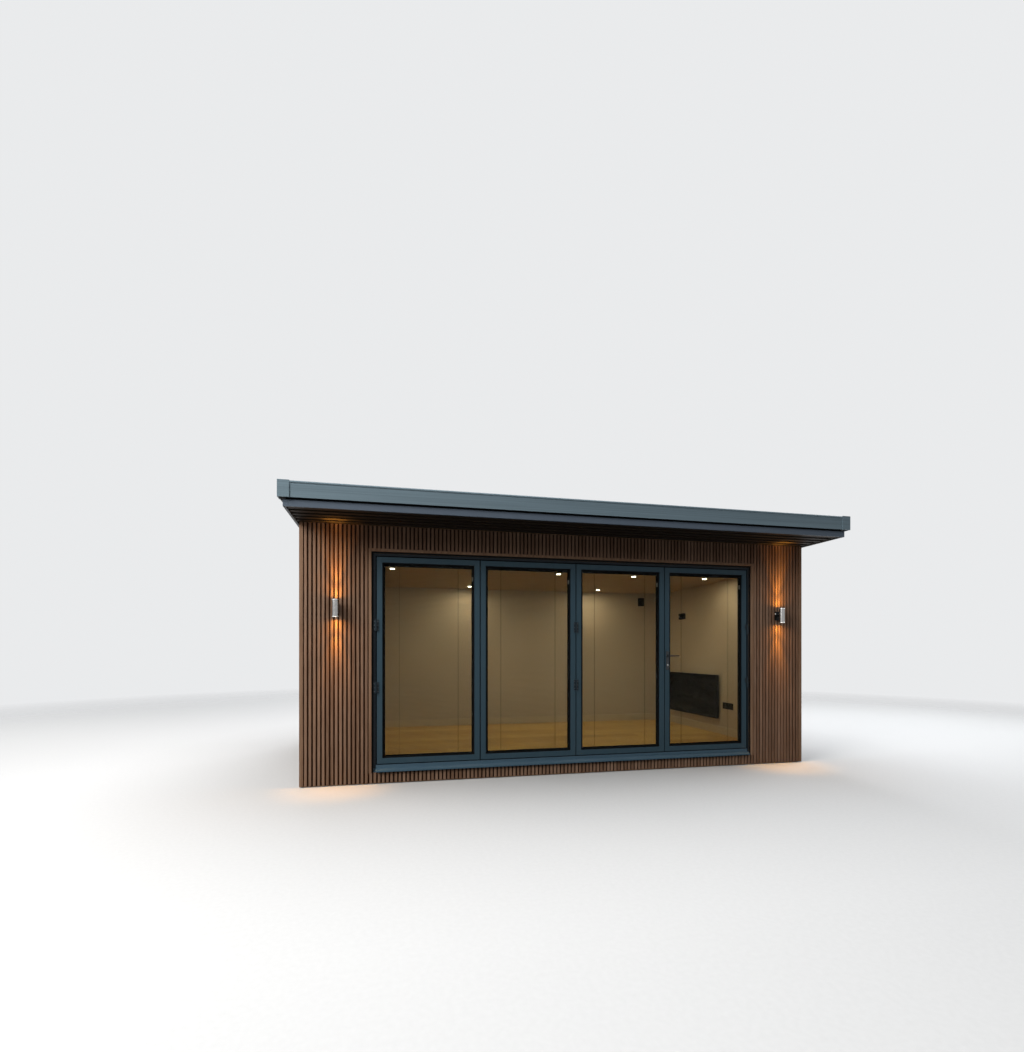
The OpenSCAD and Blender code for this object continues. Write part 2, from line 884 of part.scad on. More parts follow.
// A box on the right-hand wall, by the middle of its back and its size
module side_box(from_front, rise, size) {
    translate([room_x - size[0], y_front + from_front - size[1] / 2, floor_z + rise - size[2] / 2])
        cube(size);
}

// A box on the back wall, by the middle of its back and its size
module back_box(from_side, rise, size) {
    translate([room_x - from_side - size[0] / 2, room_y1 - size[1], floor_z + rise - size[2] / 2])
        cube(size);
}

module wall_fittings() {
    color("black") {
        side_box(socket_from_front, socket_rise, [socket_t, socket_w, socket_h]);
        side_box(switch_from_front, socket_rise, [socket_t, switch_w, socket_h]);
        side_box(control_from_front, control_rise, control_size);
        back_box(speaker_from_side, speaker_rise, speaker_size);
    }
}

base_beams();
base_joists();
floor_deck();
side_wall();  // left_wall
mirror([1, 0, 0]) side_wall();  // right_wall
back_wall();
front_wall_side();  // front_wall_left
mirror([1, 0, 0]) front_wall_side();  // front_wall_right
front_wall_header();
room_lining();
ceiling_panel();
skirting();
front_cladding_side();  // front_cladding_left
mirror([1, 0, 0]) front_cladding_side();  // front_cladding_right
front_cladding_header();
front_cladding_kerb();
side_cladding();  // left_cladding
mirror([1, 0, 0]) side_cladding();  // right_cladding
back_cladding();
corner_trims();
doorway_trims();
roof_deck();
roof_firrings();
roof_kerbs();
roof_membrane();
front_soffit();
lower_fascia();
rear_fascia();
roof_edge_trims();
roof_corner_caps();
rear_gutter();
gutter_sides();
downpipe();
door_frame();
door_cill();
leaf_frame(0);  // leaf_1_frame
leaf_frame(1);  // leaf_2_frame
leaf_frame(2);  // leaf_3_frame
for (i = [0 : 2]) leaf_glass(i);  // folding_glass
folding_gaskets();
fixed_hinges();
traffic_door_frame();
leaf_glass(3);  // traffic_door_glass
leaf_gaskets(3);  // traffic_door_gasket
traffic_door_hinges();
handle_plates();
lever_handles();
light_tubes();
light_brackets();
ceiling_downlights();
wall_screen();
wall_fittings();
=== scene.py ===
"""Finishes, fine parts, light and camera for a garden office pod.

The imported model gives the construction. This script replaces its plain slats, bars and
trims with finished ones of the same size, adds the fine parts, and gives every surface
its material. Everything is in metres, in the pod's own frame.
"""

from __future__ import annotations

import logging
import math
from dataclasses import asdict, dataclass
from enum import Enum
from typing import Any, Sequence, Union

import bmesh
import bpy
from mathutils import Matrix, Vector


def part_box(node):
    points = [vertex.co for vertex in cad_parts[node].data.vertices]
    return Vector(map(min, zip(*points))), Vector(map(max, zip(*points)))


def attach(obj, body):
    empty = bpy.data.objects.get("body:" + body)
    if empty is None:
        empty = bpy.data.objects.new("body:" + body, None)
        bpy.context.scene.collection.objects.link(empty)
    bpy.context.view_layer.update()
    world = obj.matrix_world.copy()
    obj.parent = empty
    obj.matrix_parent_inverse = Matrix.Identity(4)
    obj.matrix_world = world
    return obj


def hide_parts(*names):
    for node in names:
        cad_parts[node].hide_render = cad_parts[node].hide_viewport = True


LOG = logging.getLogger("garden_office")

IMAGE_W = 1024
IMAGE_H = 1052

# Points nearer than this are one point, in a mesh made here and in the mesh of a CAD node.
MERGE = 1e-6
CAD_MERGE = 1e-5
# An edge that turns by less than FLAT_TURN lies inside a flat face. SMOOTH_TURN and SHARP_TURN
# are the least turns of an edge that is shaded as sharp, and of one that is rounded.
FLAT_TURN = math.radians(0.5)
SMOOTH_TURN = math.radians(16)
SHARP_TURN = math.radians(40)
EVEN_TINT = 0.5

Colour = tuple[float, float, float, float]
Point = Sequence[float]
Key = Union[int, str]


def srgb(red: int, green: int, blue: int) -> Colour:
    """Turn an 8-bit display colour into linear values.

    Args:
        red: Red from 0 to 255.
        green: Green from 0 to 255.
        blue: Blue from 0 to 255.

    Returns:
        The linear colour with an alpha of 1.
    """
    shares = [value / 255 for value in (red, green, blue)]
    linear = [s / 12.92 if s <= 0.04045 else ((s + 0.055) / 1.055) ** 2.4 for s in shares]
    return (linear[0], linear[1], linear[2], 1.0)


def shaded(colour: Colour, factor: float, lift: float = 0.0) -> Colour:
    """Darken or lighten a colour.

    Args:
        colour: The colour.
        factor: What each value is multiplied by.
        lift: What is then added to it, up to a value of 1.

    Returns:
        The new colour.
    """
    red, green, blue = (min(1.0, factor * value + lift) for value in colour[:3])
    return (red, green, blue, 1.0)


class Axis(Enum):
    """A direction of the pod's frame."""

    X = 0
    Y = 1
    Z = 2

    @property
    def others(self) -> tuple[int, int]:
        """The two directions across this one, in turning order."""
        return (self.value + 1) % 3, (self.value + 2) % 3


class Body(Enum):
    """The bodies that a piece can ride on."""

    POD = "pod"
    DOOR = "traffic_door"
    HANDLE = "door_handle"


class Wire:
    """An output socket that adds maths nodes when it is used in an expression."""

    def __init__(self, board: "Board", socket: bpy.types.NodeSocket) -> None:
        """Keep the board and the socket."""
        self.board = board
        self.socket = socket

    def out(self, key: Key) -> "Wire":
        """Another output of the same node."""
        return Wire(self.board, find_socket(self.socket.node.outputs, key))

    def __add__(self, other: "Value") -> "Wire":
        """Sum."""
        return self.board.maths("ADD", self, other)

    def __sub__(self, other: "Value") -> "Wire":
        """Difference."""
        return self.board.maths("SUBTRACT", self, other)

    def __mul__(self, other: "Value") -> "Wire":
        """Product."""
        return self.board.maths("MULTIPLY", self, other)

    def __radd__(self, other: "Value") -> "Wire":
        """Reflected sum."""
        return self.board.maths("ADD", other, self)

    def __rsub__(self, other: "Value") -> "Wire":
        """Reflected difference."""
        return self.board.maths("SUBTRACT", other, self)

    def __rmul__(self, other: "Value") -> "Wire":
        """Reflected product."""
        return self.board.maths("MULTIPLY", other, self)

    def at_most(self, other: "Value") -> "Wire":
        """The lower of the two."""
        return self.board.maths("MINIMUM", self, other)

    def at_least(self, other: "Value") -> "Wire":
        """The higher of the two."""
        return self.board.maths("MAXIMUM", self, other)


Value = Union[Wire, float, int, bool, str, Sequence[float], bpy.types.ID]


def find_socket(sockets: Any, key: Key) -> bpy.types.NodeSocket:
    """Find a socket by its number, its identifier or its name.

    Args:
        sockets: The inputs or the outputs of a node.
        key: What names the socket.

    Returns:
        The socket.
    """
    if isinstance(key, int):
        return sockets[key]
    for socket in sockets:
        if socket.identifier == key:
            return socket
    return sockets[key]


class Board:
    """A node tree under construction."""

    def __init__(self, tree: bpy.types.NodeTree) -> None:
        """Keep the tree."""
        self.tree = tree

    def node(
        self, kind: str, settings: dict[str, Any] | None = None,
        inputs: dict[Key, Value] | None = None, output: Key = 0,
    ) -> Wire:
        """Add one node.

        Args:
            kind: The type of the node.
            settings: Its properties.
            inputs: A value or a wire for each socket that is set.
            output: The output socket to return.

        Returns:
            That output as a wire.
        """
        made = self.tree.nodes.new(kind)
        for key, value in (settings or {}).items():
            setattr(made, key, value)
        for key, value in (inputs or {}).items():
            socket = find_socket(made.inputs, key)
            if isinstance(value, Wire):
                self.tree.links.new(value.socket, socket)
            else:
                socket.default_value = value
        return Wire(self, find_socket(made.outputs, output))

    def maths(self, operation: str, first: Value, second: Value) -> Wire:
        """Add a Math node."""
        return self.node("ShaderNodeMath", {"operation": operation}, {0: first, 1: second})

    def end(self, kind: str, result: Wire) -> None:
        """Link the result to the first socket of the tree's output node."""
        self.tree.links.new(result.socket, self.tree.nodes.new(kind).inputs[0])


class ShaderBoard(Board):
    """The node tree of a material or of the world, under construction."""

    def __init__(self, owner: Union[bpy.types.Material, bpy.types.World]) -> None:
        """Start with an empty tree.

        Args:
            owner: The material or the world.
        """
        owner.use_nodes = True
        owner.node_tree.nodes.clear()
        super().__init__(owner.node_tree)

    def mix(self, factor: Value, first: Value, second: Value) -> Wire:
        """Mix two colours."""
        sockets = {"Factor_Float": factor, "A_Color": first, "B_Color": second}
        return self.node("ShaderNodeMix", {"data_type": "RGBA"}, sockets, "Result_Color")

    def place(self) -> Wire:
        """The point in the pod's frame."""
        return self.node("ShaderNodeTexCoord", output="Object")

    def shifted(self, vector: Value, amount: Value) -> Wire:
        """Move a vector by an amount that differs from piece to piece."""
        step = self.node("ShaderNodeCombineXYZ", None, {0: amount, 1: amount, 2: amount})
        return self.node("ShaderNodeVectorMath", {"operation": "ADD"}, {0: vector, 1: step})

    def scaled(self, vector: Value, scale: Point) -> Wire:
        """Stretch a vector along each direction."""
        return self.node("ShaderNodeVectorMath", {"operation": "MULTIPLY"}, {0: vector, 1: scale})

    def noise(self, vector: Value, scale: float, detail: float = 3.0, distortion: float = 0.0) -> Wire:
        """Soft random values round 0.5."""
        sockets = {"Vector": vector, "Scale": scale, "Detail": detail, "Distortion": distortion}
        return self.node("ShaderNodeTexNoise", None, sockets, "Fac")

    def spread(self, value: Value, low: float, high: float) -> Wire:
        """Stretch values between low and high to the whole of 0 to 1."""
        sockets = {"Value": value, "From Min": low, "From Max": high}
        return self.node("ShaderNodeMapRange", {"clamp": True}, sockets, "Result")

    def patches(
        self, vector: Value, scale: float, detail: float, low: float, high: float, distortion: float = 0.0
    ) -> Wire:
        """Random patches from 0 to 1, where soft noise passes from low to high."""
        return self.spread(self.noise(vector, scale, detail, distortion), low, high)

    def tint(self) -> Wire:
        """The random value of a slat, board or bar."""
        return self.node("ShaderNodeAttribute", {"attribute_name": "tint"}, output="Fac")

    def facing_up(self) -> Wire:
        """How far a surface faces up, from -1 to 1."""
        normal = self.node("ShaderNodeNewGeometry", output="Normal")
        return self.node("ShaderNodeSeparateXYZ", None, {0: normal}, "Z")

    def bump(self, height: Value, depth: float, strength: float = 1.0) -> Wire:
        """Relief of a surface."""
        return self.node("ShaderNodeBump", None, {"Height": height, "Distance": depth, "Strength": strength})

    def surface(self, colour: Value, roughness: Value, others: dict[Key, Value]) -> Wire:
        """Add the Principled shader with a colour, a roughness and other sockets."""
        sockets = {"Base Color": colour, "Roughness": roughness, **others}
        return self.node("ShaderNodeBsdfPrincipled", None, sockets)


@dataclass(frozen=True)
class Finish:
    """What every finish has: a name and the material slot it belongs to."""

    name: str
    slot: str

    def material(self) -> bpy.types.Material:
        """Make the material, or give the one made before.

        Returns:
            The material.
        """
        known = bpy.data.materials.get(self.name)
        if known:
            return known
        made = bpy.data.materials.new(self.name)
        board = ShaderBoard(made)
        board.end("ShaderNodeOutputMaterial", self.shader(board))
        return made

    def shader(self, board: ShaderBoard) -> Wire:
        """Build the shader nodes.

        Args:
            board: Where the nodes are made.

        Returns:
            The shader.
        """
        raise NotImplementedError


@dataclass(frozen=True)
class Timber(Finish):
    """Wood or wood composite with its grain along one direction."""

    dark: Colour
    light: Colour
    along: Axis = Axis.Z
    lines: float = 150.0
    stretch: float = 30.0
    roughness: float = 0.6
    relief: float = 0.0003
    spread_of_tint: float = 0.35

    def shader(self, board: ShaderBoard) -> Wire:
        """Grain, pores and a tint for each board.

        Args:
            board: Where the nodes are made.

        Returns:
            The shader.
        """
        scale = [self.lines] * 3
        scale[self.along.value] = self.lines / self.stretch
        tint = board.tint()
        place = board.shifted(board.place(), tint * 7.0)
        grain = board.patches(board.scaled(place, scale), 1.0, 6.0, 0.3, 0.7, 0.4)
        pores = board.patches(board.scaled(place, [4 * s for s in scale]), 1.0, 2.0, 0.55, 0.75)
        broad = board.noise(board.place(), 1.6, 3.0)
        even = 1.0 - self.spread_of_tint
        shade = grain * (0.6 * even) + tint * self.spread_of_tint + broad * (0.4 * even)
        colour = board.mix(shade, self.dark, self.light)
        return board.surface(
            board.mix(pores * 0.35, colour, self.dark),
            grain * 0.16 + (self.roughness - 0.08),
            {"Normal": board.bump(grain - pores * 0.5, self.relief), "IOR": 1.2},
        )


@dataclass(frozen=True)
class CoatedMetal(Finish):
    """Powder-coated metal with a little dust where it faces up, and lines where it was rolled."""

    colour: Colour
    roughness: float = 0.42
    dust: float = 0.25
    gloss_index: float = 1.24
    rolled: float = 0.0

    def shader(self, board: ShaderBoard) -> Wire:
        """Fine peel, cloudy gloss, dust and rolled lines.

        Args:
            board: Where the nodes are made.

        Returns:
            The shader.
        """
        place = board.place()
        cloud = board.noise(place, 2.2, 4.0)
        runs = board.noise(board.scaled(place, (14.0, 14.0, 1.2)), 1.0, 3.0)
        peel = board.noise(place, 900.0, 1.0)
        rolled = board.patches(board.scaled(place, (0.7, 0.7, 130.0)), 1.0, 3.0, 0.35, 0.7)
        dusty = board.spread(board.facing_up(), 0.2, 1.0) * board.spread(cloud, 0.35, 0.7)
        mask = (dusty * self.dust + board.spread(runs, 0.45, 0.8) * 0.14).at_most(1.0)
        worn = board.mix(mask, self.colour, shaded(self.colour, 0.86, 0.045))
        return board.surface(
            board.mix(rolled * self.rolled, worn, shaded(self.colour, 0.62)),
            cloud * 0.14 + mask * 0.2 + (self.roughness - 0.07),
            {"Normal": board.bump(peel, 0.00006, 0.6), "IOR": self.gloss_index},
        )


@dataclass(frozen=True)
class BrushedSteel(Finish):
    """Stainless steel brushed along one direction."""

    colour: Colour
    along: Axis = Axis.Z
    roughness: float = 0.24

    def shader(self, board: ShaderBoard) -> Wire:
        """Fine lines in the gloss.

        Args:
            board: Where the nodes are made.

        Returns:
            The shader.
        """
        scale = [1400.0] * 3
        scale[self.along.value] = 25.0
        lines = board.noise(board.scaled(board.place(), scale), 1.0, 3.0)
        marks = board.noise(board.place(), 30.0, 3.0)
        return board.surface(
            board.mix(board.spread(marks, 0.4, 0.75), self.colour, shaded(self.colour, 0.8)),
            lines * 0.16 + marks * 0.08 + (self.roughness - 0.12),
            {"Metallic": 1.0, "Normal": board.bump(lines, 0.00002, 0.5)},
        )


@dataclass(frozen=True)
class Paint(Finish):
    """Painted board with the faint dimples of a roller."""

    colour: Colour
    roughness: float = 0.6

    def shader(self, board: ShaderBoard) -> Wire:
        """Roller dimples and soft clouds.

        Args:
            board: Where the nodes are made.

        Returns:
            The shader.
        """
        place = board.place()
        dimples = board.noise(place, 420.0, 2.0)
        cloud = board.patches(place, 1.3, 4.0, 0.3, 0.75)
        return board.surface(
            board.mix(cloud, shaded(self.colour, 0.9), self.colour),
            dimples * 0.1 + (self.roughness - 0.05),
            {"Normal": board.bump(dimples, 0.00015, 0.5)},
        )


@dataclass(frozen=True)
class Sheet(Finish):
    """Rubber or roofing sheet, matt with a pale bloom."""

    colour: Colour
    bloom: Colour
    grit: float = 260.0
    relief: float = 0.0002
    roughness: float = 0.75

    def shader(self, board: ShaderBoard) -> Wire:
        """Bloom, ponding marks and fine grit.

        Args:
            board: Where the nodes are made.

        Returns:
            The shader.
        """
        place = board.place()
        grit = board.noise(place, self.grit, 2.0)
        cloud = board.patches(place, 1.1, 5.0, 0.42, 0.7, 0.6)
        return board.surface(
            board.mix(cloud * 0.6 + grit * 0.15, self.colour, self.bloom),
            cloud * 0.12 + (self.roughness - 0.06),
            {"Normal": board.bump(grit, self.relief, 0.6), "IOR": 1.18},
        )


@dataclass(frozen=True)
class Plastic(Finish):
    """Moulded plastic or a screen's front, with faint wipe marks in the gloss."""

    colour: Colour
    roughness: float = 0.25
    gloss_index: float = 1.3

    def shader(self, board: ShaderBoard) -> Wire:
        """Wipe marks and a fine moulded grain.

        Args:
            board: Where the nodes are made.

        Returns:
            The shader.
        """
        place = board.place()
        wipes = board.patches(board.scaled(place, (5.0, 5.0, 22.0)), 1.0, 4.0, 0.4, 0.7)
        grain = board.noise(place, 1100.0, 1.0)
        return board.surface(
            board.mix(wipes, self.colour, shaded(self.colour, 1.1, 0.004)),
            wipes * 0.1 + self.roughness,
            {"Normal": board.bump(grain, 0.00002, 0.4), "IOR": self.gloss_index},
        )


@dataclass(frozen=True)
class Glass(Finish):
    """Clear float glass that lets lamplight through."""

    colour: Colour
    gloss_index: float = 1.06

    def shader(self, board: ShaderBoard) -> Wire:
        """Clear glass with a trace of dust, and plain to the light that passes it.

        Args:
            board: Where the nodes are made.

        Returns:
            The shader.
        """
        dust = board.patches(board.place(), 3.0, 5.0, 0.5, 0.8)
        others = {"IOR": self.gloss_index, "Transmission Weight": 1.0}
        clear = board.surface(self.colour, dust * 0.012, others)
        passing = board.node("ShaderNodeBsdfTransparent", None, {"Color": self.colour})
        shadow = board.node("ShaderNodeLightPath", output="Is Shadow Ray")
        return board.node("ShaderNodeMixShader", None, {0: shadow, 1: clear, 2: passing})


@dataclass(frozen=True)
class Glow(Finish):
    """A frosted lens with its own light."""

    colour: Colour
    strength: float

    def shader(self, board: ShaderBoard) -> Wire:
        """A warm frost that differs a little from place to place.

        Args:
            board: Where the nodes are made.

        Returns:
            The shader.
        """
        frost = board.noise(board.place(), 160.0, 2.0)
        warm = board.mix(frost, self.colour, (1.0, 0.95, 0.86, 1.0))
        return board.surface(warm, 0.4, {"Emission Color": warm, "Emission Strength": self.strength})


class Finishes(Enum):
    """Every finish on the pod."""

    SLATS = Timber("slat_composite", "cladding", srgb(78, 52, 34), srgb(150, 122, 102), relief=0.0002)
    # The backing boards are painted far darker than the slats: painted shade in the grooves between the
    # slats.
    SHADED_SLAT_BOARD = Timber("slat_backing", "cladding", srgb(30, 13, 2), srgb(60, 33, 11))
    # The soffit slats are the wall composite painted near-black: painted shade under the roof overhang.
    SHADED_SOFFIT_SLATS = Timber("soffit_composite", "cladding", srgb(12, 9, 7), srgb(36, 27, 19), Axis.X)
    TRIM = Timber("trim_composite", "timber_trim", srgb(96, 70, 52), srgb(164, 134, 110), lines=90.0)
    FRAME_TIMBER = Timber("framing_timber", "structure", srgb(150, 116, 74), srgb(205, 172, 124), Axis.X)
    PANEL_TIMBER = Timber("panel_facing", "structure", srgb(140, 110, 72), srgb(190, 158, 112), lines=60.0)
    # A near-black sheet on the roof timbers: painted shade in the shadow gap under the roof edge.
    PAINTED_SHADE_WRAP = Sheet("roof_wrap", "structure", srgb(16, 17, 19), srgb(30, 31, 33))
    FLOOR = Timber(
        "oak_floor", "floor", srgb(160, 118, 58), srgb(226, 184, 110), Axis.X, 70.0, 24.0, 0.42, 0.0002, 0.45
    )
    LINING = Paint("warm_wall_paint", "lining", srgb(186, 166, 140))
    CEILING = Paint("ceiling_paint", "white_paint", srgb(172, 152, 122))
    SKIRTING = Paint("skirting_paint", "white_paint", srgb(196, 174, 142), 0.4)
    RING = Paint("downlight_ring", "white_paint", srgb(150, 144, 132), 0.4)
    ROOF_EDGE = CoatedMetal("roof_edge_coating", "roof_edge", srgb(102, 119, 128), 0.36, rolled=0.6)
    FASCIA = CoatedMetal("fascia_coating", "fascia", srgb(76, 86, 98), 0.44)
    GUTTER = CoatedMetal("gutter_coating", "gutter", srgb(50, 56, 61), 0.4)
    DOOR_METAL = CoatedMetal("anthracite_coating", "door_metal", srgb(46, 65, 75), 0.42)
    # The frame is a near-black copy of the door coating: painted shade for a frame recessed under the reveal
    # and overhang.
    SHADED_FRAME_METAL = CoatedMetal("frame_coating", "door_metal", srgb(14, 22, 28), 0.42)
    # The cill is a lighter copy of the door coating: a painted highlight for the light its nose catches.
    LIT_CILL_METAL = CoatedMetal("cill_coating", "door_metal", srgb(63, 85, 99), 0.36, 0.5)
    HINGE = CoatedMetal("hinge_coating", "hinge_metal", srgb(24, 34, 40), 0.38)
    SCREW = BrushedSteel("screw_steel", "hinge_metal", srgb(96, 100, 104), Axis.X, 0.32)
    BRACKET = CoatedMetal("bracket_coating", "light_bracket", srgb(14, 14, 15), 0.4)
    HANDLE = CoatedMetal("handle_coating", "handle_metal", srgb(14, 24, 29), 0.22, 0.1, 1.5)
    KEY_STEEL = BrushedSteel("key_cylinder_steel", "handle_metal", srgb(150, 150, 148), Axis.X, 0.34)
    LAMP_STEEL = BrushedSteel("lamp_steel", "light_metal", srgb(165, 164, 162), Axis.Z, 0.22)
    LAMP_CHROME = BrushedSteel("lamp_chrome", "light_metal", srgb(232, 232, 230), Axis.X, 0.32)
    GLASS = Glass("clear_glass", "glass", (0.86, 0.90, 0.88, 1.0))
    GASKET = Sheet("black_seal", "gasket", srgb(5, 5, 6), srgb(14, 15, 16))
    MEMBRANE = Sheet("roof_sheet", "membrane", srgb(52, 53, 55), srgb(98, 98, 97), 120.0, 0.0006)
    BLIND = Plastic("blind_slat", "white_paint", srgb(58, 51, 43), 0.45)
    BLIND_RAIL = Plastic("blind_rail", "gasket", srgb(6, 6, 6), 0.7, 1.12)
    SLIDER = Plastic("blind_slider", "white_paint", srgb(120, 116, 108), 0.35)
    BLACK = Plastic("black_moulding", "black_plastic", srgb(5, 5, 5), 0.34, 1.12)
    SCREEN = Plastic("screen_front", "black_plastic", srgb(2, 2, 2), 0.12, 1.07)
    ROCKER = Plastic("black_rocker", "black_plastic", srgb(15, 15, 16), 0.3)
    PALE_PLASTIC = Plastic("pale_moulding", "black_plastic", srgb(150, 147, 140), 0.35)
    WALL_GLOW = Glow("wall_lamp_lens", "light_metal", srgb(255, 178, 84), 12.0)
    CEILING_GLOW = Glow("downlight_lens", "white_paint", srgb(255, 226, 178), 7.0)

    @property
    def material(self) -> bpy.types.Material:
        """The material of this finish.

        Returns:
            The material.
        """
        return self.value.material()


def merge(mesh: bmesh.types.BMesh, distance: float) -> None:
    """Merge the points of a mesh that lie together."""
    bmesh.ops.remove_doubles(mesh, verts=mesh.verts[:], dist=distance)


def linked(name: str, data: bpy.types.ID) -> bpy.types.Object:
    """Add an object to the scene.

    Args:
        name: Its name.
        data: Its mesh, light or camera.

    Returns:
        The object.
    """
    made = bpy.data.objects.new(name, data)
    bpy.context.scene.collection.objects.link(made)
    return made


def add_lamp(name: str, kind: str, place: Point, turn: Point, settings: dict[str, Any]) -> None:
    """Add a lamp to the scene.

    Args:
        name: Its name.
        kind: The type of the light.
        place: Where it stands.
        turn: How it is turned from shining straight down, in radians.
        settings: Its power, colour and other properties.
    """
    light = bpy.data.lights.new(name, kind)
    for key, value in settings.items():
        setattr(light, key, value)
    lamp = linked(name, light)
    lamp.location = place
    lamp.rotation_euler = turn


class Piece:
    """The mesh of one piece while it is being made. Each step gives the piece itself back."""

    def __init__(self) -> None:
        """Start with an empty mesh that can hold a tint."""
        self.mesh = bmesh.new()
        self.tint = self.mesh.verts.layers.float.new("tint")

    def vert(self, corner: Point, tint: float = EVEN_TINT) -> bmesh.types.BMVert:
        """Add one point with its tint.

        Args:
            corner: Where it lies.
            tint: Its place between dark and light.

        Returns:
            The point.
        """
        made = self.mesh.verts.new(corner)
        made[self.tint] = tint
        return made

    def box(self, low: Point, high: Point, tint: float = EVEN_TINT) -> "Piece":
        """Add a box from its lowest corner to its highest, with a tint."""
        outline = [(low[0], low[1]), (high[0], low[1]), (high[0], high[1]), (low[0], high[1])]
        return self.prism(outline, Axis.Z, low[2], high[2], tint)

    def prism(
        self, outline: Sequence[Point], along: Axis, start: float, end: float, tint: float = EVEN_TINT
    ) -> "Piece":
        """Draw an outline out along one direction.

        Args:
            outline: Points in the two directions across it, in turning order.
            along: The direction.
            start: Where the prism starts.
            end: Where it ends.
            tint: Its place between dark and light.

        Returns:
            The piece.
        """
        first, second = along.others
        ends = []
        for height in (start, end):
            ring = []
            for point in outline:
                corner = [height] * 3
                corner[first], corner[second] = point
                ring.append(self.vert(corner, tint))
            ends.append(ring)
        below, above = ends
        self.mesh.faces.new(below[::-1])
        self.mesh.faces.new(above)
        for i, vert in enumerate(below):
            j = (i + 1) % len(below)
            self.mesh.faces.new([vert, below[j], above[j], above[i]])
        return self

    def ring(self, low: Point, high: Point, width: float) -> "Piece":
        """Four bars round an upright rectangle, cut at 45 degrees where they meet.

        Args:
            low: Lowest corner of the whole ring.
            high: Highest corner.
            width: Width of each bar.

        Returns:
            The piece.
        """
        outer = [(low[2], low[0]), (low[2], high[0]), (high[2], high[0]), (high[2], low[0])]
        inner = [
            (low[2] + width, low[0] + width), (low[2] + width, high[0] - width),
            (high[2] - width, high[0] - width), (high[2] - width, low[0] + width),
        ]
        for i in range(4):
            j = (i + 1) % 4
            self.prism([outer[i], outer[j], inner[j], inner[i]], Axis.Y, low[1], high[1])
        return self

    def turned(self, outline: Sequence[Point], centre: Point, along: Axis, steps: int = 32) -> "Piece":
        """Turn a closed outline of radius and height round an axis.

        Args:
            outline: Points as (radius, height along the axis).
            centre: A point on the axis, from which heights count.
            along: The direction of the axis.
            steps: Number of sides.

        Returns:
            The piece.
        """
        first, second = along.others
        rings = []
        for step in range(steps):
            angle = 2 * math.pi * step / steps
            ring = []
            for radius, height in outline:
                corner = list(centre)
                corner[along.value] += height
                corner[first] += radius * math.cos(angle)
                corner[second] += radius * math.sin(angle)
                ring.append(self.vert(corner))
            rings.append(ring)
        for i, ring in enumerate(rings):
            after = rings[(i + 1) % steps]
            for j in range(len(outline)):
                k = (j + 1) % len(outline)
                self.mesh.faces.new([ring[j], after[j], after[k], ring[k]])
        merge(self.mesh, MERGE)
        return self

    def copied(self, node: str) -> "Piece":
        """Add a merged copy of a CAD node's mesh, with its flat faces made whole.

        Args:
            node: The CAD node.

        Returns:
            The piece.
        """
        self.mesh.from_mesh(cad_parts[node].data)
        merge(self.mesh, CAD_MERGE)
        bmesh.ops.dissolve_limit(
            self.mesh, angle_limit=FLAT_TURN, verts=self.mesh.verts[:], edges=self.mesh.edges[:]
        )
        return self

    def added(self, mesh: bpy.types.Mesh) -> "Piece":
        """Add a finished mesh, and delete it.

        Args:
            mesh: The mesh.

        Returns:
            The piece.
        """
        self.mesh.from_mesh(mesh)
        bpy.data.meshes.remove(mesh)
        return self

    def softened(self, radius: float) -> "Piece":
        """Round every sharp edge with this radius.

        Args:
            radius: Radius of the rounding.

        Returns:
            The piece.
        """
        sharp = [
            edge for edge in self.mesh.edges
            if len(edge.link_faces) == 2 and edge.calc_face_angle() > SHARP_TURN
        ]
        bmesh.ops.bevel(
            self.mesh, geom=sharp, offset=radius, segments=2, profile=0.6, affect="EDGES", clamp_overlap=True
        )
        return self

    def finish(
        self, name: str, finish: Finishes, body: Body = Body.POD, replaced: Sequence[str] = ()
    ) -> None:
        """Turn the mesh into a piece of the pod.

        Args:
            name: Name of the piece.
            finish: Its finish.
            body: The body that it rides on.
            replaced: CAD nodes that it stands for.
        """
        merge(self.mesh, MERGE)
        bmesh.ops.recalc_face_normals(self.mesh, faces=self.mesh.faces[:])
        mesh = bpy.data.meshes.new(name)
        for face in self.mesh.faces:
            face.smooth = True
        self.mesh.to_mesh(mesh)
        self.mesh.free()
        mesh.set_sharp_from_angle(angle=SMOOTH_TURN)
        mesh.materials.append(finish.material)
        piece = linked(name, mesh)
        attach(piece, body.value)
        if replaced:
            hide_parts(*replaced)
        LOG.info("%s: %d faces, on %s", name, len(mesh.polygons), body.value)


def dress(node: str, finish: Finishes) -> None:
    """Give a CAD node its finish.

    Args:
        node: The CAD node.
        finish: Its finish.
    """
    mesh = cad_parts[node].data
    mesh.materials.clear()
    mesh.materials.append(finish.material)
    LOG.info("%s: dressed in %s", node, finish.value.name)


def soften(node: str, name: str, radius: float, finish: Finishes, body: Body = Body.POD) -> None:
    """Replace a CAD node by the same shape with its edges rounded by a radius."""
    Piece().copied(node).softened(radius).finish(name, finish, body, [node])


def solids(node: str) -> list[tuple[Vector, Vector]]:
    """Find the separate solids of a CAD node.

    Args:
        node: The CAD node.

    Returns:
        The lowest and highest corner of each, from left to right and then from front to back.
    """
    mesh = bmesh.new()
    mesh.from_mesh(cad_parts[node].data)
    merge(mesh, CAD_MERGE)
    waiting = set(mesh.verts)
    boxes = []
    while waiting:
        reached = [waiting.pop()]
        points = []
        while reached:
            vert = reached.pop()
            points.append(vert.co.copy())
            for edge in vert.link_edges:
                other = edge.other_vert(vert)
                if other in waiting:
                    waiting.remove(other)
                    reached.append(other)
        low = Vector([min(point[i] for point in points) for i in range(3)])
        high = Vector([max(point[i] for point in points) for i in range(3)])
        boxes.append((low, high))
    mesh.free()
    return sorted(boxes, key=lambda box: tuple(round(value, 3) for value in box[0]))


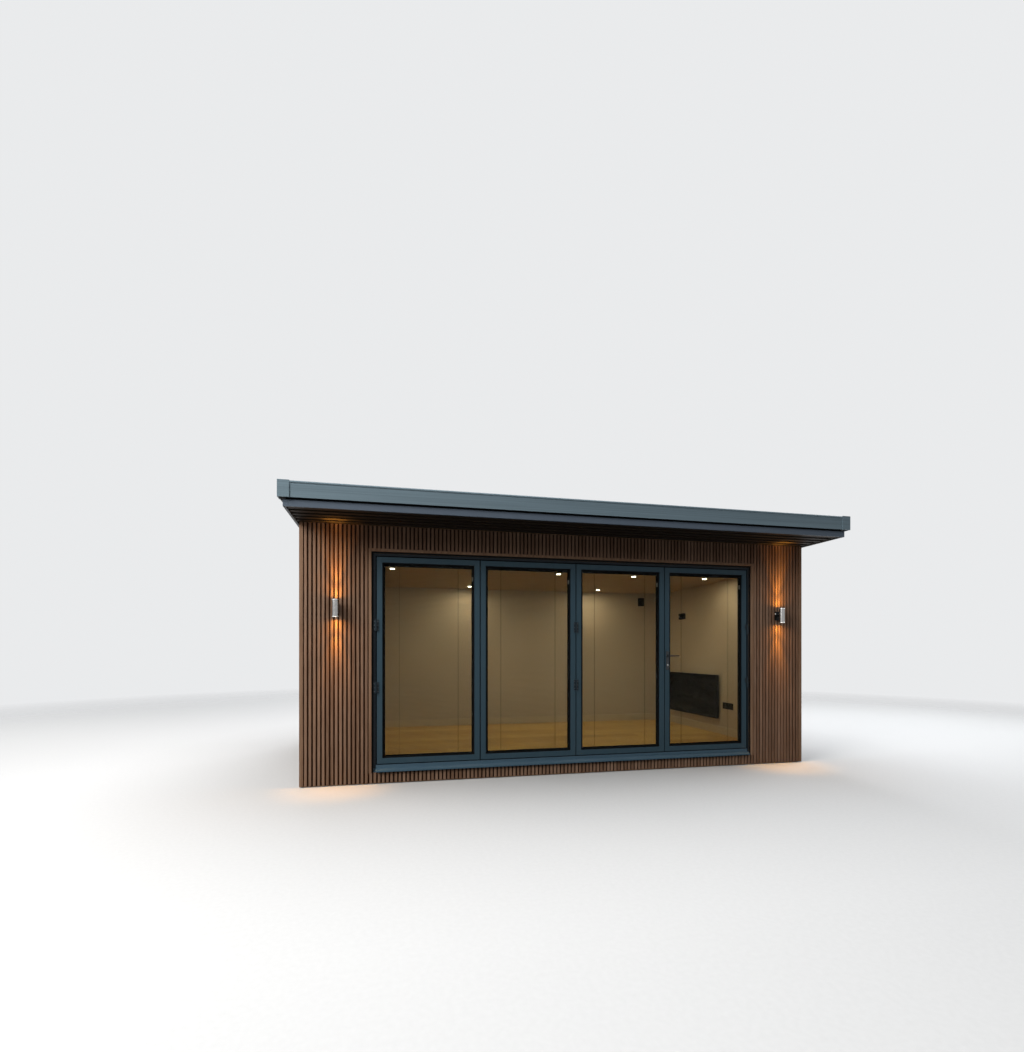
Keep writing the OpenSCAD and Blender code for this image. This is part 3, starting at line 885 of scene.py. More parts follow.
class Repeated:
    """What Geometry Nodes repeat. Its fields are values for the tree's named inputs."""

    NAME = ""
    KINDS: dict[str, str] = {}

    def instances(self, board: Board, size: Wire) -> Wire:
        """Build the nodes from the inputs up to the instances.

        Args:
            board: Where the nodes are made.
            size: The tree's inputs.

        Returns:
            The instances.
        """
        raise NotImplementedError

    def tree(self) -> bpy.types.NodeTree:
        """Make the Geometry Nodes tree, or give the one made before.

        Returns:
            The tree.
        """
        known = bpy.data.node_groups.get(self.NAME)
        if known:
            return known
        tree = bpy.data.node_groups.new(self.NAME, "GeometryNodeTree")
        for name, kind in {**self.KINDS, "Material": "Material"}.items():
            tree.interface.new_socket(name, in_out="INPUT", socket_type=f"NodeSocket{kind}")
        tree.interface.new_socket("Result", in_out="OUTPUT", socket_type="NodeSocketGeometry")
        board = Board(tree)
        size = board.node("NodeGroupInput")
        real = board.node("GeometryNodeRealizeInstances", None, {"Geometry": self.instances(board, size)})
        sockets = {"Geometry": real, "Material": size.out("Material")}
        board.end("NodeGroupOutput", board.node("GeometryNodeSetMaterial", None, sockets))
        return tree

    def grow(self, finish: Finishes, place: Matrix, start: Sequence[Point] = ()) -> bpy.types.Mesh:
        """Run the tree once.

        Args:
            finish: Finish of what it makes.
            place: Where its local frame lies.
            start: Points that it starts from, or none.

        Returns:
            What it makes, as a plain mesh.
        """
        seed = bpy.data.meshes.new("tree_holder")
        seed.from_pydata([tuple(point) for point in start], [], [])
        holder = linked("tree_holder", seed)
        rule = holder.modifiers.new("tree", "NODES")
        rule.node_group = self.tree()
        values = {name.capitalize(): value for name, value in asdict(self).items()}
        values["Material"] = finish.material
        for item in rule.node_group.interface.items_tree:
            if item.in_out == "INPUT" and item.name in values:
                rule[item.identifier] = values[item.name]
        graph = bpy.context.evaluated_depsgraph_get()
        mesh = bpy.data.meshes.new_from_object(
            holder.evaluated_get(graph), preserve_all_data_layers=True, depsgraph=graph
        )
        bpy.data.objects.remove(holder)
        bpy.data.meshes.remove(seed)
        mesh.transform(place)
        return mesh


@dataclass(frozen=True)
class ScrewSet(Repeated):
    """Screw heads with a recess, set on points. They point along the local Z."""

    radius: float = 0.0034
    height: float = 0.0011
    sides: int = 16

    NAME = "screw_set"
    KINDS = {"Points": "Geometry", "Sides": "Int", "Radius": "Float", "Height": "Float"}
    # The dome, its flat and the recess: the rise as a share of the height, and the narrowing.
    STEPS = ((0.35, 0.78), (0.0, 0.6), (-0.6, 0.85))

    def instances(self, board: Board, size: Wire) -> Wire:
        """A low cylinder on each point, whose top rises, narrows and sinks in.

        Args:
            board: Where the nodes are made.
            size: The tree's inputs.

        Returns:
            The instances.
        """
        height = size.out("Height")
        head = board.node(
            "GeometryNodeMeshCylinder", {"fill_type": "NGON"},
            {"Vertices": size.out("Sides"), "Radius": size.out("Radius"), "Depth": height}, "Mesh",
        )
        top = head.out("Top")
        for rise, width in self.STEPS:
            head = board.node(
                "GeometryNodeExtrudeMesh", {"mode": "FACES"},
                {"Mesh": head, "Selection": top, "Offset Scale": height * rise}, "Mesh",
            )
            top = head.out("Top")
            head = board.node(
                "GeometryNodeScaleElements", {"domain": "FACE"},
                {"Geometry": head, "Selection": top, "Scale": width}, "Geometry",
            )
        sockets = {"Points": size.out("Points"), "Instance": head}
        return board.node("GeometryNodeInstanceOnPoints", None, sockets)

    def set_in(self, points: Sequence[Point], outwards: Point, finish: Finishes) -> bpy.types.Mesh:
        """Set a screw on each point.

        Args:
            points: Where the heads sit.
            outwards: The direction that they point in.
            finish: Their finish.

        Returns:
            The screws as a plain mesh.
        """
        place = Vector(outwards).to_track_quat("Z", "Y").to_matrix().to_4x4()
        back = place.inverted()
        return self.grow(finish, place, [back @ Vector(point) for point in points])


@dataclass(frozen=True)
class BarRow(Repeated):
    """Equal bars with rounded edges, repeated along a line.

    A bar's section lies across the local Z, and the bar is drawn out along it.
    """

    count: int
    start: Point
    step: Point
    width: float
    depth: float
    length: float
    edge: float
    seed: int = 1

    NAME = "bar_row"
    KINDS = {
        "Count": "Int", "Start": "Vector", "Step": "Vector", "Width": "Float", "Depth": "Float",
        "Length": "Float", "Edge": "Float", "Seed": "Int",
    }

    def instances(self, board: Board, size: Wire) -> Wire:
        """One bar, set at each place of the line with a tint of its own.

        Args:
            board: Where the nodes are made.
            size: The tree's inputs.

        Returns:
            The instances.
        """
        outline = board.node(
            "GeometryNodeCurvePrimitiveQuadrilateral", {"mode": "RECTANGLE"},
            {"Width": size.out("Width"), "Height": size.out("Depth")},
        )
        outline = board.node(
            "GeometryNodeFilletCurve", {"mode": "POLY"},
            {"Curve": outline, "Count": 2, "Radius": size.out("Edge"), "Limit Radius": True},
        )
        base = board.node("GeometryNodeFillCurve", {"mode": "NGONS"}, {"Curve": outline})
        rise = board.node("ShaderNodeCombineXYZ", None, {"Z": size.out("Length")})
        sides = board.node(
            "GeometryNodeExtrudeMesh", {"mode": "FACES"},
            {"Mesh": base, "Offset": rise, "Offset Scale": 1.0, "Individual": False},
        )
        bar = board.node("GeometryNodeJoinGeometry")
        for shape in (base, sides):
            board.tree.links.new(shape.socket, bar.socket.node.inputs[0])
        bar = board.node("GeometryNodeMergeByDistance", None, {"Geometry": bar, "Distance": MERGE})
        line = board.node(
            "GeometryNodeMeshLine", {"mode": "OFFSET"},
            {"Count": size.out("Count"), "Start Location": size.out("Start"), "Offset": size.out("Step")},
        )
        bars = board.node("GeometryNodeInstanceOnPoints", None, {"Points": line, "Instance": bar})
        chance = board.node(
            "FunctionNodeRandomValue", {"data_type": "FLOAT"}, {"Seed": size.out("Seed")}, "Value_001"
        )
        return board.node(
            "GeometryNodeStoreNamedAttribute", {"data_type": "FLOAT", "domain": "INSTANCE"},
            {"Geometry": bars, "Name": "tint", "Value": chance},
        )


def lying(origin: Point) -> Matrix:
    """A local frame at a point, with its Z along the pod's X and its X along the pod's Y."""
    return Matrix.Translation(origin) @ Matrix(((0, 0, 1, 0), (1, 0, 0, 0), (0, 1, 0, 0), (0, 0, 0, 1)))


class Facing(Enum):
    """Where a slatted panel faces."""

    FRONT = 0
    RIGHT = 1
    BACK = 2
    LEFT = 3
    DOWN = 4

    def frame(self, low: Vector, high: Vector) -> tuple[Matrix, float, float, float]:
        """The panel's local frame: X along it, -Y outwards, Z up.

        Args:
            low: Lowest corner of the panel.
            high: Highest corner.

        Returns:
            The frame, and the panel's length, height and depth.
        """
        size = high - low
        if self is Facing.DOWN:
            return lying((low.x, low.y, high.z)), size.y, size.x, size.z
        corner = {
            Facing.FRONT: (low.x, high.y), Facing.RIGHT: (low.x, low.y),
            Facing.BACK: (high.x, low.y), Facing.LEFT: (high.x, high.y),
        }[self]
        place = Matrix.Translation((corner[0], corner[1], low.z))
        turn = Matrix.Rotation(math.radians(90 * self.value), 4, "Z")
        if self in (Facing.FRONT, Facing.BACK):
            return place @ turn, size.x, size.z, size.y
        return place @ turn, size.y, size.z, size.x


@dataclass(frozen=True)
class Slatting:
    """The measures of one kind of slatted board."""

    pitch: float
    slat_width: float
    slats_a_board: int
    edge: float = 0.0016


@dataclass
class Cladding:
    """The slatted boards on the walls and under the overhang, and the plain trims."""

    walls: Slatting = Slatting(0.0365, 0.022, 4)
    soffit: Slatting = Slatting(0.104, 0.060, 1)
    board_depth: float = 0.009
    end_margin: float = 0.001
    root: float = 0.001
    board_gap: float = 0.0006
    trim_edge: float = 0.0015
    wall_seed: int = 3
    soffit_seed: int = 21
    board_seed: int = 50

    def panel(self, node: str, facing: Facing, kind: Slatting, slats: Finishes, seed: int) -> None:
        """Replace one CAD panel by slats and boards with rounded edges.

        Args:
            node: The CAD node.
            facing: Where it faces.
            kind: The measures of its slats.
            slats: Finish of the slats.
            seed: Seed of the tints.
        """
        place, length, height, depth = facing.frame(*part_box(node))
        count = int((length - kind.slat_width - self.end_margin) / kind.pitch) + 1
        start = (length - (count - 1) * kind.pitch) / 2
        slat_depth = depth - self.board_depth
        slat_row = BarRow(
            count, (start, -self.board_depth - (slat_depth - self.root) / 2, 0), (kind.pitch, 0, 0),
            kind.slat_width, slat_depth + self.root, height, kind.edge, seed,
        )
        boards = max(1, round(length / (kind.pitch * kind.slats_a_board)))
        board = length / boards
        board_row = BarRow(
            boards, (board / 2, -self.board_depth / 2, 0), (board, 0, 0),
            board - self.board_gap, self.board_depth, height, self.board_gap, seed + self.board_seed,
        )
        # The backing boards carry the darker finish, which is painted shade in the grooves.
        backing = Finishes.SHADED_SLAT_BOARD
        Piece().added(slat_row.grow(slats, place)).finish(f"{node}_slats", slats, Body.POD, [node])
        Piece().added(board_row.grow(backing, place)).finish(f"{node}_boards", backing)

    def build(self) -> None:
        """Make every panel and trim."""
        panels = {
            "front_cladding_left": Facing.FRONT, "front_cladding_right": Facing.FRONT,
            "front_cladding_header": Facing.FRONT, "front_cladding_kerb": Facing.FRONT,
            "right_cladding": Facing.RIGHT, "back_cladding": Facing.BACK, "left_cladding": Facing.LEFT,
        }
        for seed, (node, facing) in enumerate(panels.items(), self.wall_seed):
            self.panel(node, facing, self.walls, Finishes.SLATS, seed)
        # The soffit gets the near-black copy of the slat finish, which is painted shade.
        self.panel("front_soffit", Facing.DOWN, self.soffit, Finishes.SHADED_SOFFIT_SLATS, self.soffit_seed)
        soften("corner_trims", "corner_trim_set", self.trim_edge, Finishes.TRIM)
        soften("doorway_trims", "doorway_trim_set", self.trim_edge, Finishes.TRIM)


@dataclass
class Roof:
    """The two-tier roof edge, the roof sheet and the gutter."""

    metal_edge: float = 0.0012

    def build(self) -> None:
        """Round the metal edges and dress the rest."""
        for node, name, finish in (
            ("lower_fascia", "lower_fascia_boards", Finishes.FASCIA),
            ("rear_fascia", "rear_fascia_board", Finishes.FASCIA),
            ("roof_edge_trims", "roof_edge_metal", Finishes.ROOF_EDGE),
            ("roof_corner_caps", "roof_corner_metal", Finishes.ROOF_EDGE),
            ("gutter_sides", "gutter_walls", Finishes.GUTTER),
            ("rear_gutter", "gutter_floor", Finishes.GUTTER),
            ("downpipe", "downpipe_run", Finishes.GUTTER),
        ):
            soften(node, name, self.metal_edge, finish)
        dress("roof_membrane", Finishes.MEMBRANE)
        # The deck, firrings and kerbs get the near-black sheet, which is painted shade in the shadow gap.
        for node in ("roof_deck", "roof_firrings", "roof_kerbs"):
            dress(node, Finishes.PAINTED_SHADE_WRAP)


@dataclass
class Shell:
    """The base, the wall panels and the room's surfaces."""

    plank_width: float = 0.19
    plank_length: float = 1.22
    plank_depth: float = 0.008
    plank_gap: float = 0.0008
    plank_edge: float = 0.0008
    skirting_edge: float = 0.004

    def floor(self) -> None:
        """Planks in a three-step stagger on the floor deck."""
        low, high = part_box("floor_deck")
        room_low, room_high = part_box("room_lining")
        top = high.z
        under = top - self.plank_depth
        door_low, door_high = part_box("door_frame")
        deck = Piece().box((room_low.x, room_low.y, low.z), (room_high.x, room_high.y, under))
        deck.box((door_low.x, low.y, low.z), (door_high.x, room_low.y, under))
        deck.finish("floor_base", Finishes.PANEL_TIMBER)
        planks = Piece()
        for row in range(math.ceil((room_high.y - room_low.y) / self.plank_width)):
            y0 = room_low.y + row * self.plank_width
            y1 = min(y0 + self.plank_width, room_high.y) - self.plank_gap
            x = room_low.x - (row % 3) * self.plank_length / 3
            column = 0
            while x < room_high.x:
                x0 = max(x, room_low.x)
                x1 = min(x + self.plank_length, room_high.x) - self.plank_gap
                tint = (0.37 * row + 0.61 * column + 0.29 * (row * column % 5)) % 1.0
                planks.box((x0, y0, under), (x1, y1, top), tint)
                x += self.plank_length
                column += 1
        planks.box((door_low.x, low.y, under), (door_high.x, room_low.y - self.plank_gap, top))
        planks.softened(self.plank_edge).finish("floor_planks", Finishes.FLOOR, Body.POD, ["floor_deck"])

    def build(self) -> None:
        """Dress the structure and make the floor."""
        self.floor()
        for node in ("base_beams", "base_joists"):
            dress(node, Finishes.FRAME_TIMBER)
        for node in (
            "left_wall", "right_wall", "back_wall", "front_wall_left", "front_wall_right",
            "front_wall_header",
        ):
            dress(node, Finishes.PANEL_TIMBER)
        dress("room_lining", Finishes.LINING)
        dress("ceiling_panel", Finishes.CEILING)
        soften("skirting", "skirting_boards", self.skirting_edge, Finishes.SKIRTING)


@dataclass
class GlassDoors:
    """The frame, the four leaves and the blinds between their panes."""

    stile: float = 0.048
    gasket: float = 0.012
    pane: float = 0.006
    spacer: float = 0.010
    bead: float = 0.014
    bead_set: float = 0.002
    metal_edge: float = 0.0012
    hinge_edge: float = 0.001
    hinge_plate: float = 0.006
    wide_hinge: float = 0.04
    screw_inset: float = 0.0065
    seal_edge: float = 0.0015
    seal_span: tuple[float, float] = (0.022, 0.034)
    seal_clear: float = 0.001
    rail_height: float = 0.032
    rail_half: float = 0.007
    rail_edge: float = 0.001
    bottom_rail: float = 0.012
    channel: float = 0.014
    slider_drop: float = 0.105
    slider_height: float = 0.042
    slider_edge: float = 0.0006
    slat_pitch: float = 0.011
    slat_depth: float = 0.0125
    slat_thickness: float = 0.0004
    slat_edge: float = 0.0001
    cord_share: float = 0.16
    cord_width: float = 0.0012
    cord_depth: float = 0.001
    cord_clear: float = 0.0006

    def leaf(self, number: int, node: str, body: Body) -> None:
        """Make one leaf with its glass unit and blind.

        Args:
            number: Number of the leaf from the left.
            node: Its CAD frame.
            body: The body that it rides on.
        """
        name = f"leaf_{number}"
        low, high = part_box(node)
        bars = Piece().ring(low, high, self.stile).softened(self.metal_edge)
        bars.finish(f"{name}_bars", Finishes.DOOR_METAL, body, [node])
        glass_low, glass_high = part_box("folding_glass")
        x0, x1 = low.x + self.stile, high.x - self.stile
        z0, z1 = glass_low.z, glass_high.z
        y0, y1 = glass_low.y, glass_high.y
        panes = Piece().box((x0, y0, z0), (x1, y0 + self.pane, z1))
        panes.box((x0, y1 - self.pane, z0), (x1, y1, z1))
        stood_for = {1: ["folding_glass"], 4: ["traffic_door_glass"]}.get(number, [])
        panes.finish(f"{name}_panes", Finishes.GLASS, body, stood_for)
        spacer = Piece().ring((x0, y0 + self.pane, z0), (x1, y1 - self.pane, z1), self.spacer)
        spacer.finish(f"{name}_spacer", Finishes.GASKET, body)
        bead_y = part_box("traffic_door_gasket")[1].y
        beads = Piece().ring((x0, bead_y, z0), (x1, high.y - self.bead_set, z1), self.bead)
        beads.softened(self.bead_set).finish(f"{name}_beads", Finishes.DOOR_METAL, body)
        inset = self.spacer + self.channel
        self.blind(name, (x0 + inset, x1 - inset), (y0 + y1) / 2, (z0 + self.gasket, z1), body)
        edge, top = x1 - self.spacer, z1 - self.slider_drop
        slider = Piece().box(
            (edge - self.channel, y0 + self.pane, top - self.slider_height),
            (edge, (y0 + y1 - self.slat_depth) / 2, top),
        )
        slider.softened(self.slider_edge).finish(f"{name}_blind_slider", Finishes.SLIDER, body)

    def blind(
        self, name: str, across: tuple[float, float], y: float, heights: tuple[float, float], body: Body
    ) -> None:
        """A slatted blind between the panes, with its slats level.

        Args:
            name: Name of the leaf.
            across: Left and right ends of its slats.
            y: The middle of the space between the panes.
            heights: Its lowest and highest levels.
            body: The body that it rides on.
        """
        x0, x1 = across
        z0, z1 = heights
        half, side, deep = self.slat_depth / 2, self.channel, self.rail_half
        foot, head = z0 + self.bottom_rail, z1 - self.rail_height
        rails = Piece().box((x0 - side, y - deep, head), (x1 + side, y + deep, z1))
        rails.box((x0 - side, y - half, z0), (x1 + side, y + half, foot))
        for left, right in ((x0 - side, x0), (x1, x1 + side)):
            rails.box((left, y - half, foot), (right, y + half, head))
        rails.softened(self.rail_edge).finish(f"{name}_blind_rails", Finishes.BLIND_RAIL, body)
        first = foot + self.slat_pitch
        row = BarRow(
            int((head - first) / self.slat_pitch), (0, 0, 0), (0, self.slat_pitch, 0),
            self.slat_depth, self.slat_thickness, x1 - x0, self.slat_edge,
        )
        slats = Piece().added(row.grow(Finishes.BLIND, lying((x0, y, first))))
        slats.finish(f"{name}_blind_slats", Finishes.BLIND, body)
        cords = Piece()
        inset = self.cord_share * (x1 - x0)
        wide, thick = self.cord_width / 2, self.cord_depth / 2
        for x in (x0 + inset, x1 - inset):
            for way in (-1, 1):
                at = y + way * (half + self.cord_clear)
                cords.box((x - wide, at - thick, z0), (x + wide, at + thick, z1))
        cords.finish(f"{name}_blind_cords", Finishes.BLIND_RAIL, body)

    def screws(self) -> None:
        """Screws on the plates of every hinge."""
        sets: dict[tuple[Body, float], list[Point]] = {}
        faces = [corner.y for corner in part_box("leaf_1_frame")]
        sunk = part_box("traffic_door_hinges")[1].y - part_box("traffic_door_frame")[0].y
        for node, body in (("fixed_hinges", Body.POD), ("traffic_door_hinges", Body.DOOR)):
            for low, high in solids(node):
                way = -1.0 if (low.y + high.y) / 2 < sum(faces) / 2 else 1.0
                face = faces[0 if way < 0 else 1] + way * (self.hinge_plate - sunk)
                whole = high.x - low.x > self.wide_hinge
                lefts = [low.x + self.screw_inset] if whole or body is Body.DOOR else []
                rights = [high.x - self.screw_inset] if whole or body is Body.POD else []
                top = high.z if whole or body is Body.DOOR else (low.z + high.z) / 2
                shares = (0.16, 0.5, 0.84) if whole else (0.25, 0.75)
                sets.setdefault((body, way), []).extend(
                    (x, face, low.z + share * (top - low.z)) for x in lefts + rights for share in shares
                )
        for body in (Body.POD, Body.DOOR):
            piece = Piece()
            for (rider, way), points in sets.items():
                if rider is body:
                    piece.added(ScrewSet().set_in(points, (0.0, way, 0.0), Finishes.SCREW))
            piece.finish(f"{body.value}_hinge_screws", Finishes.SCREW, body)

    def seals(self) -> None:
        """Black seals in the gaps round the leaves."""
        names = ("leaf_1_frame", "leaf_2_frame", "leaf_3_frame", "traffic_door_frame")
        boxes = [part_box(node) for node in names]
        low, high = boxes[0][0], boxes[3][1]
        y0, y1 = (low.y + depth for depth in self.seal_span)
        gap, clear = boxes[1][0].x - boxes[0][1].x, self.seal_clear
        piece = Piece()
        for before in boxes[:3]:
            piece.box((before[1].x, y0, low.z), (before[1].x + gap - clear, y1, high.z))
        piece.box((low.x - gap, y0, low.z), (low.x - clear, y1, high.z))
        piece.box((high.x + clear, y0, low.z), (high.x + gap, y1, high.z))
        for z in (low.z - gap, high.z + clear):
            piece.box((low.x - gap, y0, z), (high.x + gap, y1, z + gap - clear))
        piece.finish("leaf_seals", Finishes.GASKET)

    def build(self) -> None:
        """Make the frame, the leaves and their seals."""
        # The door frame gets the darker copy of the door coating, which is painted shade.
        soften("door_frame", "door_frame_bars", self.metal_edge, Finishes.SHADED_FRAME_METAL)
        # The cill gets the lighter copy of the door coating, which is a painted highlight.
        soften("door_cill", "door_cill_bar", self.metal_edge, Finishes.LIT_CILL_METAL)
        soften("fixed_hinges", "folding_hinges", self.hinge_edge, Finishes.HINGE)
        soften("traffic_door_hinges", "door_hinges", self.hinge_edge, Finishes.HINGE, Body.DOOR)
        soften("folding_gaskets", "folding_seals", self.seal_edge, Finishes.GASKET)
        soften("traffic_door_gasket", "door_seals", self.seal_edge, Finishes.GASKET, Body.DOOR)
        for number in (1, 2, 3):
            self.leaf(number, f"leaf_{number}_frame", Body.POD)
        self.leaf(4, "traffic_door_frame", Body.DOOR)
        self.seals()
        self.screws()


def pointing(outline: Sequence[Point], way: int) -> list[Point]:
    """An outline of radius and height, upside down where the way is -1."""
    return [(radius, way * height) for radius, height in outline]


@dataclass
class Handle:
    """The levers, their plates and collars, and the key cylinder."""

    plate_edge: float = 0.002
    key_radius: float = 0.0091
    key_out: float = 0.003
    key_set: float = 0.0025
    slot_size: tuple[float, float] = (0.0016, 0.009)
    slot_span: tuple[float, float] = (0.0005, 0.0014)
    collar_bore: float = 0.0087
    collar_radius: float = 0.0122
    collar_height: float = 0.0032

    def build(self) -> None:
        """Make the plates, the collars, the cylinder's ends and the levers."""
        soften("handle_plates", "handle_plate_pair", self.plate_edge, Finishes.HANDLE, Body.DOOR)
        lever = Piece().copied("lever_handles")
        lever.finish("lever_pair", Finishes.HANDLE, Body.HANDLE, ["lever_handles"])
        low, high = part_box("handle_plates")
        lever_low, lever_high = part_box("lever_handles")
        x = (low.x + high.x) / 2
        lever_z = (lever_low.z + lever_high.z) / 2
        key_z = low.z + high.z - lever_z
        keys, slots, collars = Piece(), Piece(), Piece()
        radius, deep = self.key_radius, self.key_set
        dome = [(0.0, -deep), (radius, -deep), (radius, 0.0002), (0.85 * radius, 0.0009), (0.0, 0.0010)]
        bore, rim, height = self.collar_bore, self.collar_radius, self.collar_height
        ring = [(bore, 0.0), (bore, height), (0.87 * rim, height), (rim, 0.6 * height), (rim, 0.0)]
        wide, tall = self.slot_size[0] / 2, self.slot_size[1] / 2
        for way, end in ((-1, low.y), (1, high.y)):
            keys.turned(pointing(dome, way), (x, end, key_z), Axis.Y, 28)
            y0, y1 = sorted(end + way * out for out in self.slot_span)
            slots.box((x - wide, y0, key_z - tall), (x + wide, y1, key_z + tall))
            collars.turned(pointing(ring, way), (x, end - way * self.key_out, lever_z), Axis.Y)
        keys.finish("key_cylinder_ends", Finishes.KEY_STEEL, Body.DOOR)
        slots.finish("key_slots", Finishes.BLACK, Body.DOOR)
        collars.finish("lever_collars", Finishes.HANDLE, Body.DOOR)


@dataclass(frozen=True)
class Beam:
    """One cone of light from each end of a tube.

    It starts set_back times the tube's radius behind the tube's middle, so -1 is its front.
    At the lower end it has down_share of its power.
    """

    name: str
    power: float
    angle: float
    blend: float
    set_back: float = 1.0
    down_share: float = 1.0


@dataclass
class WallLights:
    """Two steel tubes that shine up and down the wall."""

    wall: float = 0.002
    tube_edge: float = 0.0006
    lens_set: float = 0.003
    lens_share: float = 0.55
    rim: float = 0.002
    rim_height: float = 0.0075
    rim_sink: float = 0.0004
    bracket_edge: float = 0.0015
    bracket_depth: float = 0.022
    nut_radius: float = 0.0105
    nut_rise: float = 0.020
    beam_out: float = 0.004
    beam_size: float = 0.008
    beam_colour: tuple[float, float, float] = (1.0, 0.46, 0.07)
    beams: tuple[Beam, ...] = (
        Beam("near", 1.4, 172.0, 0.6), Beam("middle", 4.2, 110.0, 1.0),
        Beam("long", 46.0, 46.0, 1.0), Beam("far", 230.0, 22.0, 1.0, -1.0, 0.04),
    )

    def tube_end(self, pieces: Sequence[Piece], radius: float, place: Point, way: int) -> None:
        """Make the lens, the hood round it and the rim at one end of a tube.

        Args:
            pieces: The pieces that hold all lenses, all hoods and all rims.
            radius: Radius of the tube.
            place: The middle of the tube's end.
            way: 1 for up and -1 for down.
        """
        inner, lit = radius - self.wall, self.lens_share * radius
        near, soft, full = radius - self.rim_sink, radius + 0.6 * self.rim, radius + self.rim
        tall = self.rim_height
        lens = [(0.0, 0.0), (lit, 0.0), (lit, 0.0012), (0.0, 0.002)]
        hood = [(lit, 0.0), (inner, 0.0), (inner, self.lens_set), (lit, 0.0016)]
        band = [
            (near, -tall), (soft, -tall), (full, -0.8 * tall), (full, -0.2 * tall), (soft, -0.0003),
            (near, -0.0003),
        ]
        x, y, z = place
        for piece, outline, inset in zip(pieces, (lens, hood, band), (self.lens_set, self.lens_set, 0.0)):
            piece.turned(pointing(outline, way), (x, y, z - way * inset), Axis.Z, 40)

    def shine(self, beam: Beam, name: str, place: Point, way: int) -> None:
        """Put one warm beam at one end of a tube.

        Args:
            beam: The cone of light.
            name: Name of the lamp.
            place: Where it shines from.
            way: 1 for up and -1 for down.
        """
        add_lamp(name, "SPOT", place, (math.pi if way > 0 else 0.0, 0.0, 0.0), {
            "energy": beam.power * (1.0 if way > 0 else beam.down_share), "color": self.beam_colour,
            "spot_size": math.radians(beam.angle), "spot_blend": beam.blend,
            "shadow_soft_size": self.beam_size,
        })

    def build(self) -> None:
        """Make the tubes, their rims and lenses, the brackets and the beams."""
        soften("light_tubes", "lamp_tubes", self.tube_edge, Finishes.LAMP_STEEL)
        soften("light_brackets", "lamp_brackets", self.bracket_edge, Finishes.BRACKET)
        lenses, hoods, rims, nuts = Piece(), Piece(), Piece(), Piece()
        for side, (low, high) in zip(("left", "right"), solids("light_tubes")):
            radius = (high.y - low.y) / 2
            x, y = low.x + radius, low.y + radius
            for end, z, way in (("up", high.z, 1), ("down", low.z, -1)):
                self.tube_end((lenses, hoods, rims), radius, (x, y, z), way)
                for beam in self.beams:
                    place = (x, y + beam.set_back * radius, z + way * self.beam_out)
                    self.shine(beam, f"{beam.name}_{end}_{side}", place, way)
        radius = self.nut_radius
        dome = [
            (0.0, 0.002), (radius, 0.002), (radius, -0.003), (0.8 * radius, -0.0065), (0.4 * radius, -0.0085),
            (0.0, -0.009),
        ]
        for low, high in solids("light_brackets"):
            centre = (low.x, high.y - self.bracket_depth / 2, (low.z + high.z) / 2 + self.nut_rise)
            nuts.turned(dome, centre, Axis.X, 24)
        lenses.finish("lamp_lenses", Finishes.WALL_GLOW)
        hoods.finish("lamp_hoods", Finishes.BRACKET)
        rims.finish("lamp_rims", Finishes.LAMP_CHROME)
        nuts.finish("lamp_bracket_nuts", Finishes.LAMP_CHROME)


